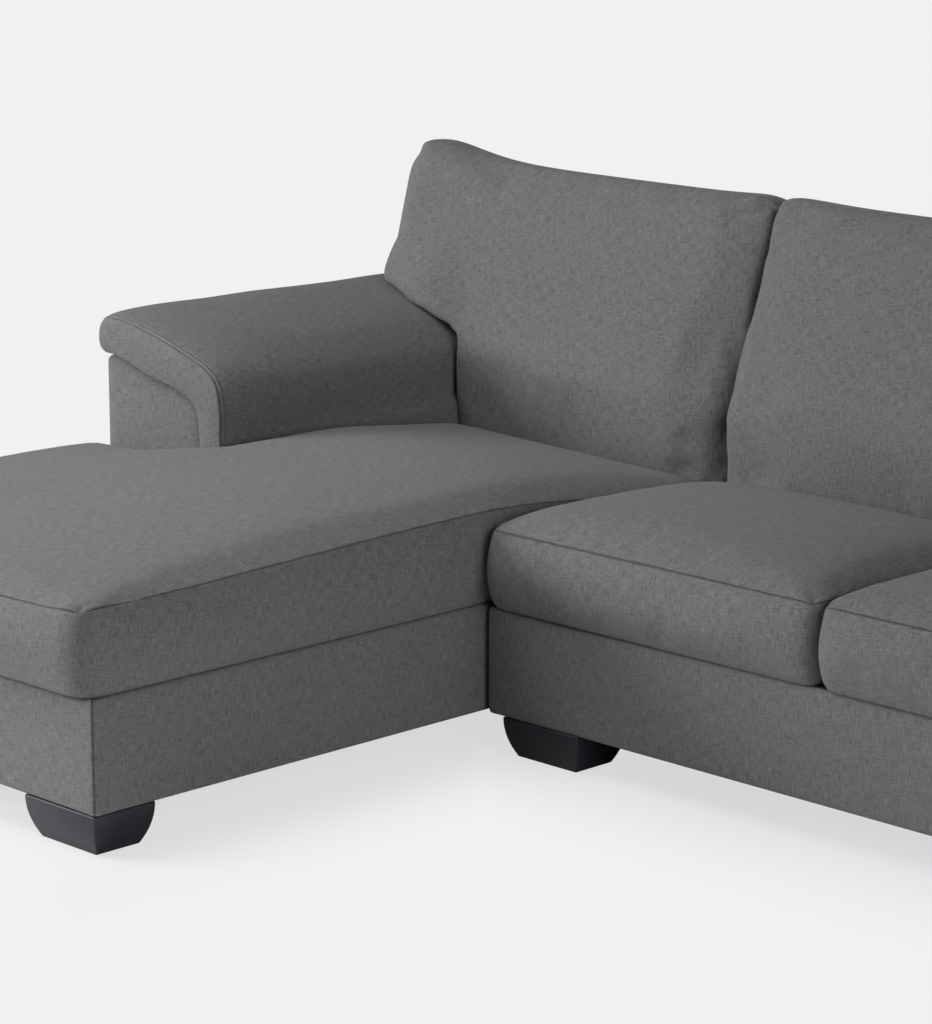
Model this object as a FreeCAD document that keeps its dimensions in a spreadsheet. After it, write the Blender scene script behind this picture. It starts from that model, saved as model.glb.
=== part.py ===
import FreeCAD, Part
import math
import os
import Sketcher
from FreeCAD import Vector

# Sectional sofa with a chaise, in millimetres
#
# +X runs to the right of someone who faces the sofa, +Y to the rear and +Z up.
# The origin is on the floor, under the centre of the whole sofa.
# The chaise section is on the left and reaches forward. The two-seat section stands
# beside it and hooks onto it. Each section has its own frame, feet, arm and back.

os.makedirs("parts", exist_ok=True)
doc = FreeCAD.newDocument("sectional_sofa")

drivingSizes = {
    "overall_width": 2914,
    "overall_depth": 1776,
    "chaise_width": 1042,
    "sofa_width": 1850,
    "join_gap": 10,
    "cap_overhang": 6,
    "sofa_depth": 885,
    "cushion_overhang": 17,
    "foot_height": 72,
    "foot_width": 180,
    "foot_depth": 128,
    "foot_taper_x": 20,
    "foot_taper_y": 19,
    "chaise_foot_inset": 3,
    "sofa_foot_inset": 38,
    "foot_front_inset": 1,
    "base_height": 194,
    "cover_thickness": 6,
    "dust_thickness": 2,
    "deck_thickness": 7,
    "rail_thickness": 30,
    "spring_rail_from_rear": 205,
    "cross_rail_height": 90,
    "block_leg": 170,
    "block_height": 60,
    "bolt_diameter": 8,
    "bolt_clearance": 0.2,
    "bolt_length": 60,
    "bolt_sink": 30,
    "spring_width": 52,
    "spring_pitch": 55,
    "spring_wire": 4,
    "spring_drop": 12,
    "spring_side_gap": 60,
    "spring_split_gap": 30,
    "clip_width": 66,
    "clip_sheet": 1.2,
    "clip_play": 0.3,
    "arm_width": 352,
    "arm_outer_height": 655,
    "arm_shoulder_height": 588,
    "arm_shoulder_width": 62,
    "arm_shoulder_drop": 70,
    "arm_shoulder_radius": 80,
    "arm_top_radius": 900,
    "arm_crest_width": 60,
    "arm_crest_radius": 75,
    "arm_nose_drop": 38,
    "arm_nose_radius": 40,
    "arm_nose_inset": 8,
    "arm_panel_height": 580,
    "seam_foot_height": 471,
    "seam_foot_radius": 60,
    "seam_knee_width": 23,
    "seam_knee_height": 521,
    "seam_knee_radius": 300,
    "seam_wave_width": 95,
    "seam_wave_height": 543,
    "seam_wave_radius": 330,
    "seam_end_width": 51,
    "cap_thickness": 67,
    "cap_seam_gap": 1,
    "cap_proud": 10,
    "panel_thickness": 10,
    "board_thickness": 18,
    "board_seat": 3,
    "board_slope": 15,
    "back_frame_depth": 90,
    "back_frame_height": 862,
    "post_width": 45,
    "strap_height": 70,
    "strap_thickness": 2,
    "strap_margin": 24,
    "back_height": 903,
    "back_ear": 22,
    "back_brow": 42,
    "back_heel": 39,
    "back_knee_height": 430,
    "back_crest_forward": 6,
    "back_join_rise": 5.5,
    "back_end_gap": 12,
    "back_front_from_rear": 285,
    "back_lean": 138,
    "back_side_inset": 57,
    "seat_seam_height": 404,
    "seat_crown": 45,
    "chaise_seam_height": 414,
    "chaise_crown": 44,
    "chaise_side_inset": 2,
    "chaise_join_inset": 3,
    "chaise_step_gap": 5,
    "seat_overhang": 6,
    "seat_rear_drop": 6,
    "cushion_clearance": 3,
    "foam_inset": 5,
    "cushion_lift": 0.3,
    "hook_height": 172,
    "hook_width": 50,
    "hook_plate": 2.4,
    "hook_from_front": 140,
    "hook_from_spring_rail": 60,
    "loop_height": 40,
    "loop_flange": 22,
    "loop_shoulder": 3,
    "loop_strap": 1.9,
    "loop_slot": 3,
    "tongue_thickness": 2.2,
    "tongue_plate": 1.4,
    "tongue_drop": 14,
    "tongue_neck": 23,
    "tongue_plate_drop": 24,
    "tongue_plate_rise": 62,
    "tongue_play": 0.4,
}

# how far a tool that opens a face runs past it
past = 1

sheet = doc.addObject("Spreadsheet::Sheet", "sizes")
for row, (alias, size) in enumerate(drivingSizes.items(), 1):
    sheet.set(f"A{row}", alias)
    sheet.set(f"B{row}", str(size))
    sheet.setAlias(f"B{row}", alias)
doc.recompute()

# Places that many pieces share, each worked out from the driving sizes
leftX = "(-sizes.overall_width / 2 + sizes.cap_overhang)"
joinX = f"({leftX} + sizes.chaise_width)"
sofaX = f"({joinX} + sizes.join_gap)"
rightX = f"({sofaX} + sizes.sofa_width)"
rearY = "(sizes.overall_depth / 2)"
seatFrontY = f"({rearY} - sizes.sofa_depth)"
chaiseFrontY = "(-sizes.overall_depth / 2 + sizes.cushion_overhang)"
footTop = "sizes.foot_height"
railBottom = "(sizes.foot_height + sizes.dust_thickness)"
baseTop = "(sizes.foot_height + sizes.base_height)"
railTop = f"({baseTop} - sizes.deck_thickness)"
springRailY = f"({rearY} - sizes.spring_rail_from_rear)"
frameRearY = f"({rearY} - sizes.cover_thickness)"
frameFrontY = f"({frameRearY} - sizes.back_frame_depth)"
armInnerX = f"({leftX} + sizes.arm_width)"
backFrontY = f"({rearY} - sizes.back_front_from_rear)"
seatSplitX = f"(({sofaX} + {rightX} - sizes.arm_width) / 2)"
backLeftX = f"({leftX} + sizes.back_side_inset)"
backRightX = f"({rightX} - sizes.back_side_inset)"
chaiseMiddleY = f"({seatFrontY} - sizes.rail_thickness * 4)"
seamFootX = f"({armInnerX} - sizes.cap_thickness)"

pieces = {}


def value(expression):
    """The number in millimetres that an expression gives."""
    found = sheet.evalExpression(str(expression))
    return float(getattr(found, "Value", found))


def keep(label, feature):
    """Name a finished sub-part, which is then written to a file of that name."""
    feature.Label = label
    pieces[label] = feature
    return feature


def place(feature, x="0", y="0", z="0"):
    for axis, expression in zip("xyz", (x, y, z)):
        feature.setExpression(f"Placement.Base.{axis}", str(expression))
    return feature


def box(low, high):
    """A box from its low corner to its high corner, both given as expressions."""
    made = doc.addObject("Part::Box", "box")
    for name, start, end in zip(("Length", "Width", "Height"), low, high):
        made.setExpression(name, f"({end}) - ({start})")
    return place(made, *low)


def hexagonal(x, y, z, radius, height):
    """An upright six-sided rod, as round as a bolt under cloth needs to be."""
    made = doc.addObject("Part::Prism", "rod")
    made.Polygon = 6
    made.setExpression("Circumradius", radius)
    made.setExpression("Height", height)
    return place(made, x, y, z)


def group(members):
    made = doc.addObject("Part::Compound", "group")
    made.Links = members
    return made


def cut(base, tool):
    made = doc.addObject("Part::Cut", "cut")
    made.Base = base
    made.Tool = tool
    return made


def fuse(members):
    made = doc.addObject("Part::MultiFuse", "fuse")
    made.Shapes = members
    return made


def mirrored(feature):
    """The same piece for the other end of the sofa, about its middle plane."""
    made = doc.addObject("Part::Mirroring", "mirrored")
    made.Source = feature
    made.Base = Vector(0, 0, 0)
    made.Normal = Vector(1, 0, 0)
    return made


def drawOutline(sketch, corners):
    """Close an outline whose corners are (across, up) or (across, up, radius, side).

    The two added values make the edge that leaves the corner an arc: side is 1 where its
    middle lies to the left of the way along the outline, and -1 where it lies to the right.
    """
    points = [Vector(value(c[0]), value(c[1]), 0) for c in corners]
    for index, corner in enumerate(corners):
        start = points[index]
        end = points[(index + 1) % len(corners)]
        if len(corner) == 2:
            sketch.addGeometry(Part.LineSegment(start, end), False)
            continue
        radius = value(corner[2])
        along = end - start
        normal = Vector(-along.y, along.x, 0).normalize() * corner[3]
        drop = math.sqrt(radius**2 - (along.Length / 2) ** 2)
        centre = (start + end) / 2 - normal * drop
        middle = centre + normal * radius
        first, last = (end, start) if corner[3] > 0 else (start, end)
        sketch.addGeometry(Part.Arc(first, middle, last), False)
    for index, corner in enumerate(corners):
        geometry = sketch.Geometry[index]
        startsHere = geometry.StartPoint.distanceToPoint(points[index]) < 1e-6
        near = 1 if startsHere else 2
        for kind, expression in zip(("DistanceX", "DistanceY"), corner[:2]):
            datum = value(expression)
            number = sketch.addConstraint(Sketcher.Constraint(kind, -1, 1, index, near, datum))
            sketch.setExpression(f"Constraints[{number}]", str(expression))
        if len(corner) == 4:
            number = sketch.addConstraint(Sketcher.Constraint("Radius", index, value(corner[2])))
            sketch.setExpression(f"Constraints[{number}]", str(corner[2]))
        before = (index - 1) % len(corners)
        last = sketch.Geometry[before]
        endsHere = last.EndPoint.distanceToPoint(points[index]) < 1e-6
        far = 2 if endsHere else 1
        sketch.addConstraint(Sketcher.Constraint("Coincident", before, far, index, near))


def pad(role, corners, start, end):
    """Pad an outline on one of a body's origin planes, from start to end along its axis.

    XY_Plane outlines are (x, y), XZ_Plane ones (x, z) and YZ_Plane ones (y, z).
    """
    body = doc.addObject("PartDesign::Body", "body")
    sketch = body.newObject("Sketcher::SketchObject", "outline")
    plane = next(f for f in body.Origin.OriginFeatures if f.Role == role)
    sketch.AttachmentSupport = (plane, "")
    sketch.MapMode = "FlatFace"
    facesBack = role == "XZ_Plane"
    offset = f"-({end})" if facesBack else str(start)
    sketch.setExpression("AttachmentOffset.Base.z", offset)
    drawOutline(sketch, corners)
    padded = body.newObject("PartDesign::Pad", "pad")
    padded.Profile = sketch
    padded.setExpression("Length", f"({end}) - ({start})")
    return body


def solid(shape):
    """A form that needs a loft or a sweep, made from sizes read off the sheet."""
    made = doc.addObject("Part::Feature", "form")
    made.Shape = shape
    return made


def arcEdge(start, middle, end):
    return Part.Arc(Vector(*start), Vector(*middle), Vector(*end)).toShape()


def lineEdge(start, end):
    return Part.LineSegment(Vector(*start), Vector(*end)).toShape()


def loft(sections):
    return Part.makeLoft(sections, True, True)


# Base of a section: rails, blocks, springs, deck, covers, feet


def base(name, x0, x1, y0, springRows, coverNames):
    """One section's base, from x0 to x1 and back from y0 to the rear of the sofa."""
    skin = "sizes.cover_thickness"
    rail = "sizes.rail_thickness"
    left = f"({x0} + {skin})"
    right = f"({x1} - {skin})"
    front = f"({y0} + {skin})"
    inFront = f"({front} + {rail})"
    inRear = f"({frameRearY} - {rail})"
    inLeft = f"({left} + {rail})"
    inRight = f"({right} - {rail})"
    crossBottom = f"({railTop} - sizes.cross_rail_height)"

    keep(f"{name}_front_rail", box((left, front, railBottom), (right, inFront, railTop)))
    keep(f"{name}_rear_rail", box((left, inRear, railBottom), (right, frameRearY, railTop)))
    sides = [
        box((left, inFront, railBottom), (inLeft, inRear, railTop)),
        box((inRight, inFront, railBottom), (right, inRear, railTop)),
    ]
    keep(f"{name}_side_rails", group(sides))
    behindSprings = f"({springRailY} + {rail})"
    keep(
        f"{name}_spring_rail",
        box((inLeft, springRailY, crossBottom), (inRight, behindSprings, railTop)),
    )
    keep(f"{name}_middle_rail", middleRail(name, inLeft, inRight, inFront, crossBottom))

    leg = "sizes.block_leg"
    blocks = []
    places = footPlaces(name, x0, x1, y0)
    corners = [(x, y, towardsX, towardsY) for x, towardsX in ((inLeft, 1), (inRight, -1))
               for y, towardsY in ((inFront, 1), (inRear, -1))]
    for (x, y, towardsX, towardsY), (_, footX, footY) in zip(corners, places):
        alongX = f"({x} + {towardsX} * {leg})"
        alongY = f"({y} + {towardsY} * {leg})"
        outline = [(x, y), (alongX, y), (x, alongY)]
        block = pad("XY_Plane", outline, railBottom, f"{railBottom} + sizes.block_height")
        blocks.append(cut(block, boltHole(footX, footY)))
    keep(f"{name}_corner_blocks", group(blocks))

    keep(f"{name}_seat_springs", solid(seatSprings(springRows)))

    deckLow = (left, front, railTop)
    deckHigh = (right, f"{frameRearY} - sizes.post_width - {past}", baseTop)
    keep(f"{name}_deck_pad", box(deckLow, deckHigh))
    dust = box((left, front, footTop), (right, frameRearY, railBottom))
    slits = [boltSlit(x, y) for _, x, y in places]
    keep(f"{name}_dust_cover", cut(dust, fuse(slits)))

    keep(coverNames[0], box((x0, y0, footTop), (x1, front, baseTop)))
    keep(coverNames[1], box((x0, front, footTop), (left, frameRearY, baseTop)))
    keep(coverNames[2], box((right, front, footTop), (x1, frameRearY, baseTop)))


def middleRail(name, inLeft, inRight, inFront, bottom):
    """The rail that halves the springs' span: across the chaise, or between the two seats."""
    half = "sizes.rail_thickness / 2"
    if name == "chaise":
        low = (inLeft, f"{chaiseMiddleY} - {half}", bottom)
        return box(low, (inRight, f"{chaiseMiddleY} + {half}", railTop))
    low = (f"{seatSplitX} - {half}", inFront, bottom)
    return box(low, (f"{seatSplitX} + {half}", springRailY, railTop))


# Sinuous seat springs


def springPath(x, y0, y1, z):
    """The zigzag centre line of one spring from a front clip at y0 to a rear clip at y1.

    It starts and ends on the straight bar that the clip grips, and every turn between is a
    half hexagon, so that the wire runs across, along and back.
    """
    width = value("sizes.spring_width")
    turns = round((y1 - y0) / value("sizes.spring_pitch"))
    turns -= turns % 2
    pitch = (y1 - y0) / turns
    corner = pitch * 0.3       # how far a half hexagon's slanted sides run inwards
    side = width / 2
    points = [Vector(x - side, y0, z)]
    for turn in range(turns):
        y = y0 + turn * pitch
        way = 1 if turn % 2 == 0 else -1
        points.append(Vector(x + way * (side - corner), y, z))
        points.append(Vector(x + way * side, y + pitch / 2, z))
        points.append(Vector(x + way * (side - corner), y + pitch, z))
    points.append(Vector(x + side, y1, z))
    return points


def wireAlong(points, radius, sides=3):
    """A wire of steady section along a run of straight stretches, mitred where they meet."""
    sections = []
    for index, point in enumerate(points):
        before = (point - points[max(index - 1, 0)]) if index else points[1] - points[0]
        after = points[index + 1] - point if index < len(points) - 1 else before
        before = Vector(before).normalize()
        after = Vector(after).normalize()
        bisector = (before + after).normalize()
        outward = Vector(-bisector.y, bisector.x, 0)
        stretch = 1 / bisector.dot(after)
        corners = []
        for side in range(sides):
            angle = 2 * math.pi * (side + 0.5) / sides
            across = outward * (radius * math.cos(angle) * stretch)
            corners.append(point + across + Vector(0, 0, radius * math.sin(angle)))
        corners.append(corners[0])
        sections.append(Part.makePolygon(corners))
    return loft(sections)


def springClip(x, y, z, facing):
    """A bent steel clip on a rail's face at y, open towards the spring (facing is 1 or -1)."""
    width = value("sizes.clip_width")
    wire = value("sizes.spring_wire")
    sheetSteel = value("sizes.clip_sheet")
    reach = wire + 2 * sheetSteel
    halfGap = wire / 2 + value("sizes.clip_play")
    half = halfGap + sheetSteel
    left = x - width / 2
    outside = Vector(left, min(y, y + facing * reach), z - half)
    whole = Part.makeBox(width, reach, 2 * half, outside)
    mouth = y + facing * sheetSteel
    inside = Vector(left, min(mouth, mouth + facing * reach), z - halfGap)
    return whole.cut(Part.makeBox(width, reach, 2 * halfGap, inside))


def seatSprings(rows):
    """Every spring of a section with the clips at its ends, as separate solids."""
    z = value(f"{railTop} - sizes.spring_drop")
    wire = value("sizes.spring_wire")
    seat = wire / 2 + value("sizes.clip_sheet + sizes.clip_play")
    solids = []
    for xs, frontExpression, rearExpression in rows:
        y0 = value(frontExpression)
        y1 = value(rearExpression)
        for x in xs:
            solids.append(wireAlong(springPath(x, y0 + seat, y1 - seat, z), wire / 2))
            solids.append(springClip(x, y0, z, 1))
            solids.append(springClip(x, y1, z, -1))
    return Part.makeCompound(solids)


def spread(first, last, count):
    """The middles of a number of equal stretches between two places."""
    step = (value(last) - value(first)) / count
    return [value(first) + step * (i + 0.5) for i in range(count)]


# Feet


def foot(name, x, y):
    """A block foot centred on (x, y): four convex sides draw in to a smaller sole."""
    halfX = "sizes.foot_width / 2"
    halfY = "sizes.foot_depth / 2"
    soleX = f"({halfX} - sizes.foot_taper_x)"
    soleY = f"({halfY} - sizes.foot_taper_y)"

    def curveRadius(taper):
        """The arc that leaves the top upright and has drawn in by the taper at the sole."""
        return f"(({taper})^2 + sizes.foot_height^2) / (2 * ({taper}))"

    def side(centre, half, sole, taper):
        radius = curveRadius(taper)
        return [
            (f"{centre} - {half}", "sizes.foot_height", radius, -1),
            (f"{centre} - {sole}", "0"),
            (f"{centre} + {sole}", "0", radius, -1),
            (f"{centre} + {half}", "sizes.foot_height"),
        ]

    frontView = side(x, halfX, soleX, "sizes.foot_taper_x")
    sideView = side(y, halfY, soleY, "sizes.foot_taper_y")
    wide = pad("XZ_Plane", frontView, f"{y} - {halfY}", f"{y} + {halfY}")
    deep = pad("YZ_Plane", sideView, f"{x} - {halfX}", f"{x} + {halfX}")
    block = doc.addObject("Part::Common", "block")
    block.Base = wide
    block.Tool = deep
    return keep(name, cut(block, boltHole(x, y)))


boltBottom = f"({footTop} - sizes.bolt_sink)"


def boltHole(x, y):
    """A clearance hole for a foot's bolt, from inside the foot up through the corner block."""
    radius = "sizes.bolt_diameter / 2 + sizes.bolt_clearance"
    return hexagonal(x, y, boltBottom, radius, "sizes.bolt_length + sizes.block_height")


def boltSlit(x, y):
    """The square that is cut out of the dust cover for a foot's bolt."""
    half = "sizes.bolt_diameter"
    low = (f"{x} - {half}", f"{y} - {half}", f"{footTop} - {past}")
    return box(low, (f"{x} + {half}", f"{y} + {half}", f"{railBottom} + {past}"))


def bolt(x, y):
    """A foot's hanger bolt."""
    return hexagonal(x, y, boltBottom, "sizes.bolt_diameter / 2", "sizes.bolt_length")


def footPlaces(name, x0, x1, y0):
    """Where a section's feet are centred: left front, left rear, right front, right rear."""
    near = f"sizes.{name}_foot_inset"
    halfX = "sizes.foot_width / 2"
    halfY = "sizes.foot_depth / 2"
    xs = (("left", f"({x0} + {near} + {halfX})"), ("right", f"({x1} - {near} - {halfX})"))
    ys = (
        ("front", f"({y0} + sizes.foot_front_inset + {halfY})"),
        ("rear", f"({frameRearY} - sizes.foot_front_inset - {halfY})"),
    )
    return [(f"{name}_foot_{end}_{side}", x, y) for side, x in xs for end, y in ys]


def feet(name, x0, x1, y0):
    """Four feet under a section, and the bolts that hold them to the corner blocks."""
    bolts = []
    for label, x, y in footPlaces(name, x0, x1, y0):
        foot(label, x, y)
        bolts.append(bolt(x, y))
    keep(f"{name}_foot_bolts", group(bolts))


# Arms


def armSeam(gap):
    """The wavy seam of the arm's front, from its foot on the inner side up and outwards.

    gap moves it up and inwards, for the edge of the pillow that lies on it.
    """
    foot = f"({seamFootX} + {gap})"
    outer = f"({leftX} + {gap})"
    kneeX = f"({foot} - sizes.seam_knee_width)"
    waveX = f"({foot} - sizes.seam_wave_width)"
    return [
        (foot, baseTop),
        (foot, f"sizes.seam_foot_height + {gap}", "sizes.seam_foot_radius", -1),
        (kneeX, f"sizes.seam_knee_height + {gap}", "sizes.seam_knee_radius", -1),
        (waveX, f"sizes.seam_wave_height + {gap}", "sizes.seam_wave_radius", 1),
        (f"{outer} + sizes.seam_end_width", f"sizes.arm_panel_height + {gap}"),
    ]


def turnedRound(corners):
    """The same run of corners followed the other way, with each arc kept where it is."""
    turned = []
    for index in range(len(corners) - 1, 0, -1):
        arc = corners[index - 1][2:]
        bend = (arc[0], -arc[1]) if arc else ()
        turned.append(corners[index][:2] + bend)
    return turned + [corners[0][:2]]


def arm():
    """The left arm, and its mirror image on the right: boards, a padded panel, a pillow cap."""
    boxOuter = f"({leftX} + sizes.panel_thickness)"
    front = seatFrontY
    boardFront = f"({front} + sizes.panel_thickness)"
    boardRear = f"({frameFrontY} - {past})"

    boards = []
    count = 4
    for index in range(count):
        travel = f"({boardRear} - {boardFront} - sizes.board_thickness)"
        y = f"({boardFront} + {travel} * {index} / {count - 1})"
        boards.append(pad("XZ_Plane", boardOutline(boxOuter), y, f"{y} + sizes.board_thickness"))
    frame = group(boards)
    keep("left_arm_frame", frame)
    keep("right_arm_frame", mirrored(frame))

    panelFace = [(leftX, baseTop)] + armSeam(0) + [(leftX, "sizes.arm_panel_height")]
    face = pad("XZ_Plane", panelFace, front, boardFront)
    side = box((leftX, boardFront, baseTop), (boxOuter, rearY, "sizes.arm_panel_height"))
    panel = fuse([face, side])
    keep("left_arm_panel", panel)
    keep("right_arm_panel", mirrored(panel))

    pillow = pad("XZ_Plane", capOutline(), f"{front} - sizes.cap_proud", rearY)
    backRoom = box(
        (backLeftX, f"{frameFrontY} - {past}", f"{baseTop} - {past}"),
        (f"{armInnerX} + {past}", f"{rearY} + {past}", f"sizes.arm_outer_height + {past}"),
    )
    cap = cut(pillow, backRoom)
    keep("left_arm_cap", cap)
    keep("right_arm_cap", mirrored(cap))


def boardOutline(boxOuter):
    """A plywood board inside the arm, cut straight below the seam that its front follows."""
    foot = f"({seamFootX} - {past})"
    seat = "sizes.board_seat"
    return [
        (boxOuter, baseTop),
        (foot, baseTop),
        (foot, f"sizes.seam_foot_height - {seat}"),
        (f"{foot} - sizes.seam_knee_width", f"sizes.seam_knee_height - {seat}"),
        (f"{foot} - sizes.seam_wave_width", f"sizes.seam_wave_height - {seat}"),
        (boxOuter, "sizes.arm_panel_height - sizes.board_slope"),
    ]


def capTop(gap):
    """The pillow's run over the arm, from the seat side up to its crest, grown by a gap."""
    inner = f"({armInnerX} + {gap})"
    shoulder = f"(sizes.arm_shoulder_height + {gap})"
    return [
        (inner, f"{shoulder} - sizes.arm_shoulder_drop", "sizes.arm_shoulder_radius", -1),
        (f"{inner} - sizes.arm_shoulder_width", shoulder, "sizes.arm_top_radius", -1),
    ]


def capOutline():
    """The arm's section: a pillow that rests on the box and rolls down its inner side."""
    crestX = f"{leftX} + sizes.arm_crest_width"
    noseX = f"{leftX} - sizes.cap_overhang"
    noseZ = "sizes.arm_outer_height - sizes.arm_nose_drop"
    run = [(armInnerX, baseTop)] + capTop(0)
    run.append((crestX, "sizes.arm_outer_height", "sizes.arm_crest_radius", -1))
    run.append((noseX, noseZ, "sizes.arm_nose_radius", -1))
    run.append((f"{leftX} + sizes.arm_nose_inset", "sizes.arm_panel_height + sizes.cap_seam_gap"))
    return run + turnedRound(armSeam("sizes.cap_seam_gap"))


# Backs


def backFrame(name, postXs):
    """Posts, top rail and elastic straps of one section's back."""
    width = "sizes.post_width"
    railDepthY = f"({frameRearY} - {width})"
    topBottom = "(sizes.back_frame_height - sizes.rail_thickness)"
    posts = []
    for x in postXs:
        posts.append(box((x, railDepthY, railTop), (f"{x} + {width}", frameRearY, topBottom)))
    keep(f"{name}_back_posts", group(posts))
    first = postXs[0]
    last = f"({postXs[-1]} + {width})"
    top = box((first, frameFrontY, topBottom), (last, frameRearY, "sizes.back_frame_height"))
    keep(f"{name}_back_top_rail", top)
    straps = []
    count = 4
    lowest = f"({baseTop} + sizes.strap_margin)"
    travel = f"({topBottom} - sizes.strap_height - sizes.strap_margin - {lowest})"
    for index in range(count):
        z = f"({lowest} + {travel} * {index} / {count - 1})"
        low = (first, f"{railDepthY} - sizes.strap_thickness", z)
        straps.append(box(low, (last, railDepthY, f"{z} + sizes.strap_height")))
    keep(f"{name}_back_straps", group(straps))


def fromLevel(top, end):
    """The middle of the arc that leaves its top point level and comes down to its end point."""
    x, topY, topZ = top
    across = end[1] - topY
    down = topZ - end[2]
    radius = (across**2 + down**2) / (2 * down)
    half = math.atan2(abs(across), radius - down) / 2
    way = math.copysign(1, across)
    return (x, topY + way * radius * math.sin(half), topZ - radius * (1 - math.cos(half)))


def backSection(x, crown, crest, drop):
    """One upright slice of a back cushion at x, as a closed wire.

    crown is how far the leaning face bulges, crest the height of the rounded top, and drop
    how far the slice is drawn in where the cushion ends.
    """
    front = value(backFrontY) + drop
    low = value(baseTop) + value("sizes.cushion_lift")
    rear = value(frameRearY) - value("sizes.cushion_lift")
    kneeZ = value("sizes.back_knee_height")
    browZ = crest - value("sizes.back_brow")
    browY = front + value("sizes.back_lean")
    knee = (x, front, kneeZ)
    face = (x, (front + browY) / 2 - crown, (kneeZ + browZ) / 2)
    brow = (x, browY, browZ)
    ridge = (x, (browY + rear) / 2 - value("sizes.back_crest_forward"), crest)
    heel = (x, rear, crest - value("sizes.back_heel"))
    bottomFront = (x, front, low)
    bottomRear = (x, rear, low)
    edges = [
        lineEdge(bottomFront, knee),
        arcEdge(knee, face, brow),
        arcEdge(brow, fromLevel(ridge, brow), ridge),
        arcEdge(ridge, fromLevel(ridge, heel), heel),
        lineEdge(heel, bottomRear),
        lineEdge(bottomRear, bottomFront),
    ]
    return Part.Wire(edges)


# How a back cushion ends: distance from its end, bulge of the face, how far the slice is
# drawn in, and the share of the ear that rises there
backEnd = (
    (0, 3, 30, 0.5),
    (8, 6, 15, 0.7),
    (28, 11, 5, 0.95),
    (75, 16, 1, 0.95),
    (190, 22, 0, 0.4),
)
backMiddleCrown = 25


def backCushion(x0, x1, leftEar, rightEar):
    """A crowned back cushion from x0 to x1, whose top corners rise into ears of two heights."""
    crest = value("sizes.back_height")
    slices = []
    for inset, crown, drop, share in backEnd:
        slices.append(backSection(x0 + inset, crown, crest - drop + leftEar * share, drop))
    slices.append(backSection((x0 + x1) / 2, backMiddleCrown, crest, 0))
    for inset, crown, drop, share in reversed(backEnd):
        slices.append(backSection(x1 - inset, crown, crest - drop + rightEar * share, drop))
    return loft(slices)


def armSpace(side):
    """Room for an arm under a back cushion, a little larger than the arm's own section."""
    ahead = "sizes.arm_width / 2"
    space = pad("XZ_Plane", capSpaceOutline(), f"{backFrontY} - {ahead}", f"{rearY} + {past}")
    return space if side == "left" else mirrored(space)


def capSpaceOutline():
    """The arm's section grown by a small gap and carried down and outwards without end."""
    below = f"{baseTop} - {past}"
    above = f"sizes.arm_outer_height + {past}"
    beyond = f"{leftX} - sizes.arm_crest_width"
    run = [(f"{armInnerX} + {past}", below)] + capTop(past)
    run.append((f"{leftX} + sizes.arm_crest_width + {past}", above))
    return run + [(beyond, above), (beyond, below)]


def backCushions():
    """One cushion on the chaise section and two on the other, cut round arms and frames."""
    touch = "sizes.join_gap / 2 - sizes.cushion_lift * 2"
    half = "sizes.cushion_lift * 2"
    ear = value("sizes.back_ear")
    rise = value("sizes.back_join_rise")
    left = solid(backCushion(value(backLeftX), value(f"{joinX} + {touch}"), ear, rise))
    middle = solid(backCushion(value(f"{sofaX} - ({touch})"), value(f"{seatSplitX} - {half}"), rise, 0))
    right = solid(backCushion(value(f"{seatSplitX} + {half}"), value(backRightX), 0, ear))
    skin = "sizes.cover_thickness"
    chaiseFrame = frameSpace(f"{backLeftX} + sizes.back_end_gap", f"{joinX} + {skin}")
    sofaFrame = frameSpace(f"{sofaX} - {skin}", f"{backRightX} - sizes.back_end_gap")
    keep("left_back_cushion", cut(left, fuse([armSpace("left"), chaiseFrame])))
    keep("middle_back_cushion", cut(middle, sofaFrame))
    keep("right_back_cushion", cut(right, fuse([armSpace("right"), sofaFrame])))


def frameSpace(x0, x1):
    """Room in a back cushion for the frame behind it and for the straps on its front."""
    room = 2
    behind = f"{rearY} + {room}"
    top = "sizes.back_frame_height"
    railBottomZ = f"({top} - sizes.rail_thickness)"
    upper = box(
        (x0, f"{frameFrontY} - {room}", f"{railBottomZ} - {2 * room}"),
        (x1, behind, f"{top} + {past}"),
    )
    strapFront = f"{frameRearY} - sizes.post_width - sizes.strap_thickness - {room}"
    lower = box((x0, strapFront, f"{baseTop} - {room}"), (x1, behind, railBottomZ))
    return fuse([upper, lower])


def outerBack(name, x0, x1, armEnd):
    """The flat outer cover of a section's back, stepped in above the arm."""
    high = "sizes.back_frame_height"
    step = "(sizes.arm_panel_height - sizes.panel_thickness)"
    inset = "sizes.back_side_inset"
    if armEnd == "left":
        armX = f"{x0} + sizes.panel_thickness"
        outline = [
            (armX, footTop),
            (x1, footTop),
            (x1, high),
            (f"{x0} + {inset}", high),
            (f"{x0} + {inset}", step),
            (armX, step),
        ]
    else:
        armX = f"{x1} - sizes.panel_thickness"
        outline = [
            (x0, footTop),
            (armX, footTop),
            (armX, step),
            (f"{x1} - {inset}", step),
            (f"{x1} - {inset}", high),
            (x0, high),
        ]
    keep(name, pad("XZ_Plane", outline, frameRearY, rearY))


# Loose seat cushions

# how far a seam comes down where its slice is drawn in, as a share of the drawing in
cornerSag = 0.45


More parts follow.
